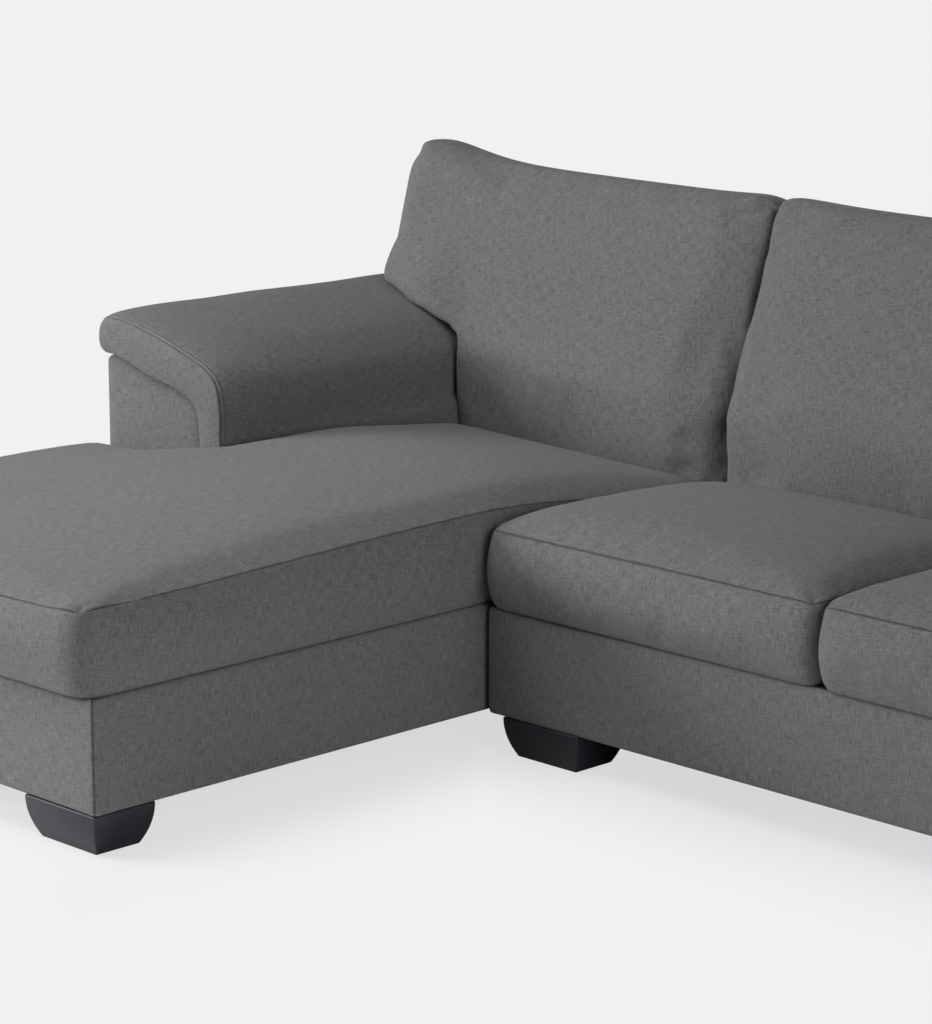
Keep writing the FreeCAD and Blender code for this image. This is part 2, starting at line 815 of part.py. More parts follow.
def seatSection(x, y0, y1, inset, crown, bulge, trim):
    """One upright slice of a seat cushion at x: flat below, crowned above, bulging in front."""
    low = value(baseTop) + value("sizes.cushion_lift") + trim
    seam = value("sizes.seat_seam_height") - trim - inset * cornerSag
    rearSeam = seam - value("sizes.seat_rear_drop")
    front = y0 + inset + trim
    rear = y1 - trim
    edges = [
        lineEdge((x, rear, low), (x, front, low)),
        arcEdge((x, front, low), (x, front - bulge, (low + seam) / 2), (x, front, seam)),
        arcEdge((x, front, seam), (x, (front + rear) / 2, seam + crown), (x, rear, rearSeam)),
        lineEdge((x, rear, rearSeam), (x, rear, low)),
    ]
    return Part.Wire(edges)


# How a seat cushion ends: distance from its side, how far the slice is drawn in, the share
# of the crown that it has, and the bulge of its front
seatEnd = (
    (0, 13, 0.20, 3),
    (9, 6, 0.38, 6),
    (32, 1.5, 0.63, 10),
    (120, 0, 0.90, 11),
)
seatMiddleBulge = 11


def seatForm(x0, x1, y0, y1, trim):
    """A seat cushion's whole form; trim draws every face in, for the foam inside its cover."""
    crown = value("sizes.seat_crown")
    start = x0 + trim
    end = x1 - trim
    slices = []
    for inset, drawn, share, bulge in seatEnd:
        slices.append(seatSection(start + inset, y0, y1, drawn, crown * share, bulge, trim))
    middle = (start + end) / 2
    slices.append(seatSection(middle, y0, y1, 0, crown, seatMiddleBulge, trim))
    for inset, drawn, share, bulge in reversed(seatEnd):
        slices.append(seatSection(end - inset, y0, y1, drawn, crown * share, bulge, trim))
    return loft(slices)


def coverAndFoam(name, form):
    """A cushion as its sewn cover and the foam that fills it."""
    inset = value("sizes.foam_inset")
    inner = form(inset - 1)
    keep(f"{name}_cover", solid(form(0).cut(inner)))
    keep(f"{name}_foam", solid(form(inset)))


def seatCushions():
    """The two loose cushions between the chaise section and the right arm."""
    y0 = value(f"{seatFrontY} - sizes.seat_overhang")
    y1 = value(f"{backFrontY} - sizes.cushion_clearance")
    gap = value("sizes.cushion_clearance")
    split = value(seatSplitX)
    first = value(sofaX) + past
    last = value(f"{rightX} - sizes.arm_width") - gap
    for name, x0, x1 in (("left_seat", first, split - gap / 2), ("right_seat", split + gap / 2, last)):
        coverAndFoam(name, lambda trim, x0=x0, x1=x1: seatForm(x0, x1, y0, y1, trim))


# How the chaise cushion ends in front and at the back: distance from its end, how far the
# slice is drawn in, the share of the crown that it has, and the bulge of its sides
chaiseNose = (
    (0, 12, 0.25, 2),
    (5, 6, 0.45, 5),
    (18, 2, 0.66, 7),
    (60, 0, 0.86, 8),
    (200, 0, 1, 8),
)
chaiseTail = (
    (0, 7, 0.60, 1),
    (20, 3, 0.74, 2),
    (80, 0, 0.90, 3),
    (220, 0, 1, 3),
)
chaiseBulge = 8
chaiseTailBulge = 3

# the side's bulge flattens over this distance where it meets the other section
chaiseFlattening = 12


def chaiseForm(trim):
    """The L-shaped chaise cushion: full width in front of the arm, narrower beside it."""
    low = value(baseTop) + value("sizes.cushion_lift") + trim
    seam = value("sizes.chaise_seam_height") - trim
    crown = value("sizes.chaise_crown")
    outer = value(f"{leftX} + sizes.chaise_side_inset") + trim
    inner = value(f"{joinX} - sizes.chaise_join_inset") - trim
    beside = value(armInnerX) + value("sizes.cushion_clearance") + trim
    front = value("-sizes.overall_depth / 2") + trim
    stepY = value(f"{seatFrontY} - sizes.cap_proud - sizes.chaise_step_gap") - trim
    rear = value(f"{backFrontY} - sizes.cushion_clearance") - trim

    def wide(y, drawn, share, bulge):
        """A slice across the full width, with both sides bulging."""
        a = outer + drawn
        b = inner - drawn
        top = seam - drawn * cornerSag
        middle = (low + top) / 2
        return Part.Wire([
            lineEdge((a, y, low), (b, y, low)),
            arcEdge((b, y, low), (b + bulge, y, middle), (b, y, top)),
            arcEdge((b, y, top), ((a + b) / 2, y, top + crown * share), (a, y, top)),
            arcEdge((a, y, top), (a - bulge, y, middle), (a, y, low)),
        ])

    def narrow(y, drawn, share, bulge):
        """A slice beside the arm: its top is the inner part of the full width's arc."""
        b = inner - drawn
        top = seam - drawn * cornerSag
        middle = (low + top) / 2
        height = crown * share
        half = (inner - outer) / 2
        radius = (half**2 + height**2) / (2 * height)
        centreX = (outer + inner) / 2
        centreZ = top + height - radius

        def onArc(x):
            return centreZ + math.sqrt(radius**2 - (x - centreX) ** 2)

        between = (beside + b) / 2
        return Part.Wire([
            lineEdge((beside, y, low), (b, y, low)),
            arcEdge((b, y, low), (b + bulge, y, middle), (b, y, onArc(b))),
            arcEdge((b, y, onArc(b)), (between, y, onArc(between)), (beside, y, onArc(beside))),
            lineEdge((beside, y, onArc(beside)), (beside, y, low)),
        ])

    slices = [wide(front + inset, drawn, share, bulge) for inset, drawn, share, bulge in chaiseNose]
    slices.append(wide(stepY, 0, 1, chaiseBulge))
    tailSlices = [narrow(stepY, 0, 1, chaiseBulge)]
    tailSlices.append(narrow(stepY + chaiseFlattening, 0, 1, chaiseTailBulge))
    for inset, drawn, share, bulge in reversed(chaiseTail):
        tailSlices.append(narrow(rear - inset, drawn, share, bulge))
    return loft(slices).fuse(loft(tailSlices))


# Hooks that hold the two sections together


def hooks():
    """Pairs of steel plates in the gap between the sections.

    A loop on the chaise's plate takes a tongue that points down from the sofa's plate, so the
    sofa section lifts off and drops on again.
    """
    loops = []
    tongues = []
    rearHookY = f"({springRailY} + sizes.hook_from_spring_rail)"
    for y in (f"({seatFrontY} + sizes.hook_from_front)", rearHookY):
        loops.append(hookLoop(y))
        tongues.append(hookTongue(y))
    keep("chaise_hook_loops", group(loops))
    keep("sofa_hook_tongues", group(tongues))


def hookLoop(y):
    """A plate on the chaise's side, pressed out in its middle into a flat upright loop."""
    plateX = f"({joinX} + sizes.hook_plate)"
    slotX = f"({plateX} + sizes.loop_slot)"
    strapX = f"({slotX} + sizes.loop_strap)"
    slotHalf = f"(sizes.hook_width / 2 + {past})"
    strapHalf = "(sizes.hook_width / 2 + sizes.loop_shoulder)"
    flange = "(sizes.hook_width / 2 + sizes.loop_flange)"
    bottom = "(sizes.hook_height - sizes.loop_height / 2)"
    top = "(sizes.hook_height + sizes.loop_height / 2)"
    hat = [
        (joinX, f"{y} - {flange}"),
        (plateX, f"{y} - {flange}"),
        (plateX, f"{y} - {strapHalf}"),
        (strapX, f"{y} - {strapHalf}"),
        (strapX, f"{y} + {strapHalf}"),
        (plateX, f"{y} + {strapHalf}"),
        (plateX, f"{y} + {flange}"),
        (joinX, f"{y} + {flange}"),
    ]
    slot = box(
        (plateX, f"{y} - {slotHalf}", f"{bottom} - {past}"),
        (slotX, f"{y} + {slotHalf}", f"{top} + {past}"),
    )
    return cut(pad("XY_Plane", hat, bottom, top), slot)


def hookTongue(y):
    """A plate on the other section's side, whose cranked tongue hangs in a loop's slot."""
    half = "sizes.hook_width / 2"
    middle = "sizes.hook_height"
    inner = f"({joinX} + sizes.hook_plate + sizes.tongue_play)"
    outer = f"({inner} + sizes.tongue_thickness)"
    plateX = f"({sofaX} - sizes.tongue_plate)"
    neck = f"{middle} + sizes.tongue_neck"
    neckTop = f"{neck} + sizes.hook_plate"
    profile = [
        (inner, f"{middle} - sizes.tongue_drop"),
        (outer, f"{middle} - sizes.tongue_drop"),
        (outer, neck),
        (plateX, neck),
        (plateX, f"{middle} - sizes.tongue_plate_drop"),
        (sofaX, f"{middle} - sizes.tongue_plate_drop"),
        (sofaX, f"{middle} + sizes.tongue_plate_rise"),
        (plateX, f"{middle} + sizes.tongue_plate_rise"),
        (plateX, neckTop),
        (inner, neckTop),
    ]
    return pad("XZ_Plane", profile, f"{y} - {half}", f"{y} + {half}")


def build():
    sideGap = "sizes.spring_side_gap"
    splitGap = "sizes.spring_split_gap"
    railInner = "sizes.cover_thickness + sizes.rail_thickness"
    middleRailHalf = "sizes.rail_thickness / 2"
    chaiseFrontXs = spread(f"{leftX} + {sideGap}", f"{joinX} - {sideGap}", 5)
    chaiseRearXs = spread(armInnerX, f"{joinX} - {sideGap}", 4)
    leftSeatXs = spread(f"{sofaX} + {sideGap}", f"{seatSplitX} - {splitGap}", 4)
    rightSeatXs = spread(f"{seatSplitX} + {splitGap}", f"{rightX} - sizes.arm_width", 4)
    springsChaise = [
        (chaiseFrontXs, f"{chaiseFrontY} + {railInner}", f"{chaiseMiddleY} - {middleRailHalf}"),
        (chaiseRearXs, f"{chaiseMiddleY} + {middleRailHalf}", springRailY),
    ]
    springsSofa = [
        (leftSeatXs, f"{seatFrontY} + {railInner}", springRailY),
        (rightSeatXs, f"{seatFrontY} + {railInner}", springRailY),
    ]
    base("chaise", leftX, joinX, chaiseFrontY, springsChaise,
         ("chaise_front_cover", "chaise_outer_cover", "chaise_inner_cover"))
    base("sofa", sofaX, rightX, seatFrontY, springsSofa,
         ("sofa_front_cover", "sofa_inner_cover", "sofa_outer_cover"))
    feet("chaise", leftX, joinX, chaiseFrontY)
    feet("sofa", sofaX, rightX, seatFrontY)
    arm()
    width = "sizes.post_width"
    endGap = f"sizes.back_end_gap + {past}"
    skin = "sizes.cover_thickness"
    chaisePosts = [f"({backLeftX} + {endGap})", f"({joinX} - {skin} - {width})"]
    sofaPosts = [
        f"({sofaX} + {skin})",
        f"({seatSplitX} - {width} / 2)",
        f"({backRightX} - ({endGap}) - {width})",
    ]
    backFrame("chaise", chaisePosts)
    backFrame("sofa", sofaPosts)
    backCushions()
    outerBack("chaise_back_cover", leftX, joinX, "left")
    outerBack("sofa_back_cover", sofaX, rightX, "right")
    seatCushions()
    coverAndFoam("chaise_seat", chaiseForm)
    hooks()


build()
doc.recompute()

for item in doc.Objects:
    if "Invalid" in item.State or "Error" in item.State:
        raise RuntimeError(f"{item.Label} ({item.Name}) failed: {item.State}")
for label, item in pieces.items():
    if item.Shape.isNull() or not item.Shape.isValid():
        raise RuntimeError(f"{label} has no valid shape")
for label, item in pieces.items():
    item.Shape.exportStep(f"parts/{label}.step")
    print(label, len(item.Shape.Solids), round(item.Shape.Volume / 1e3), "cm3")
print(len(pieces), "sub-parts")
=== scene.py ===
import math
import bmesh
import bpy
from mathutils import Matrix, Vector, noise


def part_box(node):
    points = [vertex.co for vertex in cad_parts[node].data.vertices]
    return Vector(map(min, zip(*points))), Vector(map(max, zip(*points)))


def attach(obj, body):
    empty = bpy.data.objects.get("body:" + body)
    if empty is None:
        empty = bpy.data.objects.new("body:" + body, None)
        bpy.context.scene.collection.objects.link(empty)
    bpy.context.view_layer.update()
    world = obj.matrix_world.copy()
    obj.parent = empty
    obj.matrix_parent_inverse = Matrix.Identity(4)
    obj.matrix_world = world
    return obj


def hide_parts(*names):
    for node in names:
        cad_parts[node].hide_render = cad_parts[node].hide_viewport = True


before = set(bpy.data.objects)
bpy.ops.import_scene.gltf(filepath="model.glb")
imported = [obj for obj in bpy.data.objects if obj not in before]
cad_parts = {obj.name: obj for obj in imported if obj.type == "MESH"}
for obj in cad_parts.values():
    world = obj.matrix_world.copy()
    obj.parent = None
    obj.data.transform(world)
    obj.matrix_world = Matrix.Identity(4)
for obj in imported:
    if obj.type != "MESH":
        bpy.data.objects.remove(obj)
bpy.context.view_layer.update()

scene = bpy.context.scene

# places that the pieces share, in metres, read from the frame
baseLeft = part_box("chaise_outer_cover")[0].x
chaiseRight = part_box("chaise_inner_cover")[1].x
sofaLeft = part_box("sofa_inner_cover")[0].x
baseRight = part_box("sofa_outer_cover")[1].x
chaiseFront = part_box("chaise_front_cover")[0].y
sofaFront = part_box("sofa_front_cover")[0].y
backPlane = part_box("chaise_back_cover")[1].y
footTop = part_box("chaise_front_cover")[0].z
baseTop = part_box("chaise_front_cover")[1].z
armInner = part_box("left_arm_cap")[1].x
touching = 1e-5            # closer than this, two places are the same
sectionOf = {"left": "chaise_section", "right": "sofa_section"}


# shader helpers

class Signal:
    def __init__(self, desk, socket):
        self.desk = desk
        self.socket = socket

    def maths(self, operation, first, second=None):
        values = [v for v in (first, second) if v is not None]
        return self.desk.node("Math", {"operation": operation}, dict(enumerate(values)))

    def __add__(self, other):
        return self.maths("ADD", self, other)

    def __radd__(self, other):
        return self.maths("ADD", other, self)

    def __sub__(self, other):
        return self.maths("SUBTRACT", self, other)

    def __rsub__(self, other):
        return self.maths("SUBTRACT", other, self)

    def __mul__(self, other):
        return self.maths("MULTIPLY", self, other)

    def __rmul__(self, other):
        return self.maths("MULTIPLY", other, self)

    def sine(self):
        return self.maths("SINE", self)

    def power(self, exponent):
        return self.maths("POWER", self, exponent)

    def clamped(self):
        return self.desk.node("Clamp", {}, {0: self})


class Desk:
    # one material's node tree
    def __init__(self, name):
        self.material = bpy.data.materials.new(name)
        self.material.use_nodes = True
        self.tree = self.material.node_tree
        self.shader = self.tree.nodes["Principled BSDF"]

    def node(self, kind, settings, inputs, output=0):
        made = self.tree.nodes.new("ShaderNode" + kind)
        for key, setting in settings.items():
            setattr(made, key, setting)
        for key, given in inputs.items():
            self.feed(made.inputs[key], given)
        return Signal(self, made.outputs[output])

    def feed(self, socket, given):
        if isinstance(given, Signal):
            self.tree.links.new(given.socket, socket)
        else:
            socket.default_value = given

    def finish(self, **inputs):
        for key, given in inputs.items():
            self.feed(self.shader.inputs[key.replace("_", " ")], given)
        return self.material

    def noise(self, vector, detail):
        inputs = {"Vector": vector, "Scale": 1.0, "Detail": detail, "Roughness": 0.5}
        return self.node("TexNoise", {}, inputs)

    def scaled(self, vector, size):
        # a vector whose unit is size along each axis
        scale = [1 / s for s in size]
        return self.node("VectorMath", {"operation": "MULTIPLY"}, {0: vector, 1: scale})

    def outside(self, place, centre, half):
        # how far a point of the floor lies outside a rectangle
        away = self.node("VectorMath", {"operation": "SUBTRACT"}, {0: place, 1: tuple(centre)})
        away = self.node("VectorMath", {"operation": "ABSOLUTE"}, {0: away})
        away = self.node("VectorMath", {"operation": "SUBTRACT"}, {0: away, 1: tuple(half)})
        parts = self.node("SeparateXYZ", {}, {0: away})
        across, along = parts, Signal(self, parts.socket.node.outputs[1])
        return across.maths("MAXIMUM", across, along)

    def blend(self, factor, first, second):
        settings = {"data_type": "RGBA"}
        return self.node("Mix", settings, {0: factor, 6: first, 7: second}, output=2)

    def bump(self, height, distance):
        return self.node("Bump", {}, {"Height": height, "Distance": distance, "Strength": 1.0})


# materials

weave = {
    "light": (0.222, 0.216, 0.223, 1),
    "dark": (0.098, 0.095, 0.099, 1),
    "thread": 0.0012,          # from one thread to the next
    "slubLength": 0.020,       # the thicker stretches of a thread
    "slubWidth": 0.0014,
    "cloud": 0.11,             # size of the faint lighter and darker areas
    "warpShare": 1.7,          # how much each part of the pattern changes the tone
    "weftShare": 1.5,
    "grainShare": 0.4,
    "faintShare": 0.1,
    "relief": 0.28,            # height of the threads, as a share of their spacing
    "roughness": 0.92,
    "sheen": 0.12,
    "seamShade": 0.92,
    "seamSharpness": 1.8,
    "seamShadeTone": 0.28,          # painted shade down in a seam, as a share of the dark threads
}


def wovenCloth(name, look, onUv=True):
    desk = Desk(name)
    if onUv:
        place = desk.node("UVMap", {"uv_map": "cloth"}, {})
    else:
        place = desk.node("TexCoord", {}, {}, output="Object")
    parts = desk.node("SeparateXYZ", {}, {0: place})
    across = Signal(desk, parts.socket.node.outputs[0])
    along = Signal(desk, parts.socket.node.outputs[1])
    width, length = look["slubWidth"], look["slubLength"]
    warp = desk.noise(desk.scaled(place, (width, length, width)), 1.0)
    weft = desk.noise(desk.scaled(place, (length, width, length)), 1.0)
    grain = desk.noise(desk.scaled(place, (look["thread"],) * 3), 2.0)
    cloud = desk.noise(desk.scaled(place, (look["cloud"],) * 3), 3.0)
    turn = math.tau / look["thread"] / 2
    over = (across * turn).sine() * (along * turn).sine()
    tone = 0.5 + (warp - 0.5) * look["warpShare"] + (weft - 0.5) * look["weftShare"]
    tone = tone + (grain - 0.5) * look["grainShare"]
    tone = (tone + (cloud - 0.5) * look["faintShare"] + over * look["faintShare"]).clamped()
    colour = desk.blend(tone, look["dark"], look["light"])
    if onUv:
        # painted shade: along the seams and stitch lines the colour is darkened towards a deep tone of the
        # dark threads
        seam = desk.node("Attribute", {"attribute_name": "seam"}, {}, output="Fac")
        seam = seam.power(look["seamSharpness"])
        deep = tuple(c * look["seamShadeTone"] for c in look["dark"][:3]) + (1,)
        colour = desk.blend((seam * look["seamShade"]).clamped(), colour, deep)
    height = over * 0.5 + warp * 0.9 + weft * 0.9 + grain * 0.5
    normal = desk.bump(height, look["thread"] * look["relief"])
    rough = look["roughness"] - (grain - 0.5) * 0.12
    inputs = {"Base_Color": colour, "Roughness": rough, "Normal": normal}
    return desk.finish(**inputs, Sheen_Weight=look["sheen"], Sheen_Roughness=0.55, Specular_IOR_Level=0.22)


footLook = {"face": (0.014, 0.014, 0.022, 1), "worn": (0.03, 0.03, 0.042, 1), "roughness": 0.42}


def satinFoot():
    desk = Desk("footBlack")
    place = desk.node("TexCoord", {}, {}, output="Object")
    mottle = desk.noise(desk.scaled(place, (0.02, 0.02, 0.008)), 4.0)
    pores = desk.noise(desk.scaled(place, (0.0009, 0.0009, 0.004)), 2.0)
    colour = desk.blend((mottle * 1.2 - 0.35).clamped(), footLook["face"], footLook["worn"])
    rough = footLook["roughness"] + (mottle - 0.5) * 0.22
    return desk.finish(Base_Color=colour, Roughness=rough, Normal=desk.bump(pores, 0.00012))


pineLook = {
    "pale": (0.62, 0.44, 0.25, 1),
    "ring": (0.38, 0.22, 0.10, 1),
    "ringWidth": 0.008,
    "bend": (0.03, 0.5),       # size of the rings' wander, across the grain and along it
    "fibre": (0.0016, 0.05),   # a fibre's width and length
}


def grained(size, grainAlong):
    # one size across the grain on two axes, the other along it on the third
    across, along = size
    return [along if axis == grainAlong else across for axis in range(3)]


def sawnTimber(name, look, grainAlong):
    desk = Desk(name)
    place = desk.node("TexCoord", {}, {}, output="Object")
    bend = desk.noise(desk.scaled(place, grained(look["bend"], grainAlong)), 3.0)
    fibres = desk.noise(desk.scaled(place, grained(look["fibre"], grainAlong)), 2.0)
    rings = (bend * (math.tau * 0.045 / look["ringWidth"])).sine() * 0.5 + 0.5
    tone = (rings * 0.55 + fibres * 0.6 - 0.1).clamped()
    colour = desk.blend(tone, look["pale"], look["ring"])
    return desk.finish(Base_Color=colour, Roughness=0.7 + fibres * 0.15, Normal=desk.bump(fibres, 0.0003))


def drawnSteel(name, tint, roughness):
    desk = Desk(name)
    place = desk.node("TexCoord", {}, {}, output="Object")
    bloom = desk.noise(desk.scaled(place, (0.012, 0.012, 0.012)), 4.0)
    colour = desk.blend(bloom, tint, tuple(c * 0.62 for c in tint[:3]) + (1,))
    return desk.finish(Base_Color=colour, Metallic=1.0, Roughness=roughness + bloom * 0.15)


upholstery = wovenCloth("upholstery", weave)
deckLook = {
    **weave,
    "light": (0.07, 0.07, 0.074, 1),
    "dark": (0.032, 0.032, 0.034, 1),
    "thread": 0.0009,
    "sheen": 0.05,
}
dustLook = {
    **weave,
    "light": (0.03, 0.03, 0.031, 1),
    "dark": (0.012, 0.012, 0.012, 1),
    "thread": 0.002,
    "sheen": 0.0,
}
strapLook = {
    **weave,
    "light": (0.11, 0.10, 0.09, 1),
    "dark": (0.02, 0.02, 0.02, 1),
    "thread": 0.003,
    "slubLength": 0.09,
    "sheen": 0.0,
}
deckCloth = wovenCloth("deckCloth", deckLook, onUv=False)
dustCloth = wovenCloth("dustCloth", dustLook, onUv=False)
webbing = wovenCloth("webbing", strapLook, onUv=False)
footBlack = satinFoot()
pineAcross = sawnTimber("pineAcross", pineLook, 0)
pineDeep = sawnTimber("pineDeep", pineLook, 1)
pineUpright = sawnTimber("pineUpright", pineLook, 2)
springSteel = drawnSteel("springSteel", (0.34, 0.34, 0.36, 1), 0.32)
zincSteel = drawnSteel("zincSteel", (0.62, 0.62, 0.58, 1), 0.28)
print("materials made")


# mesh helpers

def wobble(place, size, seed):
    # smooth seeded noise from about -1 to 1 whose lumps are as large as size
    return noise.noise(Vector(place) / size + Vector((seed * 7.31, seed * 3.7, seed * 1.9)))


def spot(a, b, digits=5):
    # a rounded place, by which the same vertex is found again
    return round(a, digits), round(b, digits)


def smoothStep(edge, t):
    # 0 to 1 as t goes from 0 to edge
    t = min(max(t / edge, 0.0), 1.0)
    return t * t * (3 - 2 * t)


def stations(low, high, pitch, closeBy):
    # cutting places between low and high: closeBy gives distances from each end, pitch the rest
    near = [low + d for d in closeBy] + [high - d for d in closeBy]
    first, last = low + closeBy[-1], high - closeBy[-1]
    count = max(1, round((last - first) / pitch))
    return near + [first + (last - first) * i / count for i in range(1, count)]


def alongAxis(axis):
    return Vector([float(i == axis) for i in range(3)])


def sliced(bm, axis, places):
    # cut a mesh by planes across an axis
    normal = alongAxis(axis)
    for place in places:
        geometry = bm.verts[:] + bm.edges[:] + bm.faces[:]
        bmesh.ops.bisect_plane(bm, geom=geometry, dist=1e-6, plane_co=normal * place, plane_no=normal)


def clothMapped(bm, uvAt):
    # cloth coordinates in metres, from each face's normal and the places of its corners
    layer = bm.loops.layers.uv.new("cloth")
    bm.normal_update()
    for face in bm.faces:
        for loop in face.loops:
            loop[layer].uv = uvAt(face.normal, *loop.vert.co)


def boxProjected(bm):
    # mapped along the axis that each face looks along, before the piece is shaped
    def uvAt(n, x, y, z):
        return ((y, z), (x, z), (x, y))[max(range(3), key=lambda i: abs(n[i]))]

    clothMapped(bm, uvAt)


def prism(corners, axis, start, end):
    # a closed block whose outline is corners, pulled along an axis
    bm = bmesh.new()
    order = {0: lambda a, b: (start, a, b), 1: lambda a, b: (a, start, b), 2: lambda a, b: (a, b, start)}
    face = bm.faces.new([bm.verts.new(order[axis](a, b)) for a, b in corners])
    pulled = bmesh.ops.extrude_face_region(bm, geom=[face])
    moved = [g for g in pulled["geom"] if isinstance(g, bmesh.types.BMVert)]
    bmesh.ops.translate(bm, verts=moved, vec=alongAxis(axis) * (end - start))
    bmesh.ops.recalc_face_normals(bm, faces=bm.faces[:])
    return bm


def piece(name, bm, material, body, replaced=(), levels=0):
    bmesh.ops.recalc_face_normals(bm, faces=bm.faces[:])
    mesh = bpy.data.meshes.new(name)
    bm.to_mesh(mesh)
    bm.free()
    made = bpy.data.objects.new(name, mesh)
    scene.collection.objects.link(made)
    mesh.polygons.foreach_set("use_smooth", [True] * len(mesh.polygons))
    mesh.materials.append(material)
    if levels:
        smooth = made.modifiers.new("smooth", "SUBSURF")
        smooth.levels = levels
        smooth.render_levels = levels
    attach(made, body)
    if replaced:
        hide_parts(*replaced)
    return made


def clothPiece(name, bm, body, replaced):
    return piece(name, bm, upholstery, body, replaced, levels=1)


# a mask of the seams: it tells the cloth where it is held, and where shade is painted into the cloth's
# colour
def seamPaint(bm):
    return bm.verts.layers.float.new("seam")


def airFilled(made, air):
    # cloth with air pressure inside, held at its seams, then written back onto the piece
    mesh = made.data
    start = [v.co.copy() for v in mesh.vertices]
    held = made.vertex_groups.new(name="held")
    for index, strength in enumerate(air["hold"](start, mesh)):
        if strength > 0:
            held.add([index], strength, "REPLACE")
    cloth = made.modifiers.new("cloth", "CLOTH")
    settings = cloth.settings
    settings.quality = 5
    settings.mass = 0.35
    settings.tension_stiffness = 12
    settings.compression_stiffness = 12
    settings.shear_stiffness = 5
    settings.bending_stiffness = air["bending"]
    settings.tension_damping = 12
    settings.air_damping = 3
    settings.use_pressure = True
    settings.uniform_pressure_force = air["pressure"]
    settings.shrink_min = -air["slack"]
    settings.effector_weights.gravity = 0
    settings.vertex_group_mass = "held"
    cloth.collision_settings.use_collision = False
    cloth.collision_settings.use_self_collision = False
    made.modifiers.move(len(made.modifiers) - 1, 0)
    others = [m for m in made.modifiers if m != cloth]
    for m in others:
        m.show_viewport = False
    for step in range(1, air["steps"] + 1):
        scene.frame_set(step)
    graph = bpy.context.evaluated_depsgraph_get()
    found = [v.co.copy() for v in made.evaluated_get(graph).data.vertices]
    made.modifiers.remove(cloth)
    made.vertex_groups.remove(held)
    for m in others:
        m.show_viewport = True
    scene.frame_set(1)
    for vertex, old, new in zip(mesh.vertices, start, found):
        move = new - old
        if move.length > air["reach"]:
            move *= air["reach"] / move.length
        vertex.co = old + move
    mesh.update()


# loose seat cushions

edgeCuts = (0.0018, 0.0045, 0.009, 0.014, 0.022)
cushionLook = {
    "pitch": 0.017,            # from one cut to the next
    "round": 0.045,            # plan radius of the corners
    "seamDepth": 0.0032,
    "ridge": 0.0014,           # the doubled cloth beside the seam
    "ridgeAt": 0.0045,
    "stitchesAt": 0.009,       # the line of stitches that holds it
    "dip": 0.004,              # how far the seam falls at a corner
    "dipReach": 0.05,
    "pinch": 0.003,            # the fold of cloth that a corner gathers
    "pinchAt": 0.045,
    "pucker": 0.0011,          # small waves beside the seam
    "puckerReach": 0.018,
    "ripple": 0.0022,          # wide waves on top
    "rippleSize": 0.26,
    "borderWave": 0.0016,
    "lowerTuck": 0.006,        # how far the bottom edge is drawn in
    "flat": 2.6,               # how level the crown's middle is
    "air": {"pressure": 3.0, "steps": 16, "reach": 0.012, "slack": 0.01, "bending": 0.8},
}


def crownShare(t, power=2.6, shape=0.62):
    return max(0.0, 1 - abs(2 * t - 1) ** power) ** shape


def cornerRounded(x, y, box, radius):
    # draw a point of a rectangle's plan in so that the corners are round
    x0, x1, y0, y1 = box
    cx, cy = (x0 + x1) / 2, (y0 + y1) / 2
    hx, hy = (x1 - x0) / 2 - radius, (y1 - y0) / 2 - radius
    a, b = (abs(x - cx) - hx) / radius, (abs(y - cy) - hy) / radius
    if a <= 0 or b <= 0:
        return x, y
    length = math.hypot(a, b)
    scale = max(a, b) / length
    return (cx + math.copysign(hx + a * scale * radius, x - cx),
            cy + math.copysign(hy + b * scale * radius, y - cy))


def seamWave(x, y, seed):
    # the little puckers that stitching leaves, strongest at the seam
    return wobble((x, y, 0), 0.016, seed) * 0.6 + wobble((x, y, 0), 0.035, seed + 3) * 0.6


def heldAtSeams(start, mesh):
    seam = [s.value for s in mesh.attributes["seam"].data]
    low = min(v.z for v in start)
    return [1.0 if s > 0.5 or v.z < low + 0.012 else 0.0 for s, v in zip(seam, start)]


def seatCushion(name, look, body, replaced, box, seed):
    x0, x1, y0, y1, z0, z1 = box
    bm = prism([(x0, y0), (x1, y0), (x1, y1), (x0, y1)], 2, z0, z1)
    sliced(bm, 0, stations(x0, x1, look["pitch"], edgeCuts))
    sliced(bm, 1, stations(y0, y1, look["pitch"], edgeCuts))
    sliced(bm, 2, stations(z0, z1, look["pitch"], edgeCuts[:4]))
    boxProjected(bm)

    def seamHeight(x, y):
        # falling towards the back
        return look["seam"] - look["fall"] * max((y - y0) / (y1 - y0), 0) ** 1.6

    shapeCushion(bm, look, box, seed, seamHeight)
    made = clothPiece(name, bm, body, replaced)
    airFilled(made, {**look["air"], "hold": heldAtSeams})


def outwardFrom(x, y, box, radius):
    # the level direction out of a round-cornered rectangle at a point of its rim
    x0, x1, y0, y1 = box
    cx, cy = (x0 + x1) / 2, (y0 + y1) / 2
    a = max(abs(x - cx) - (x1 - x0) / 2 + radius, 0)
    b = max(abs(y - cy) - (y1 - y0) / 2 + radius, 0)
    return Vector((math.copysign(a, x - cx), math.copysign(b, y - cy), 0)).normalized()


def topStitched(edge, look):
    # the doubled cloth beside a seam and the line of stitches that holds it
    ridge = look["ridge"] * math.exp(-((edge - look["ridgeAt"]) / 0.0022) ** 2)
    return ridge - look["ridge"] * 0.7 * math.exp(-((edge - look["stitchesAt"]) / 0.0016) ** 2)


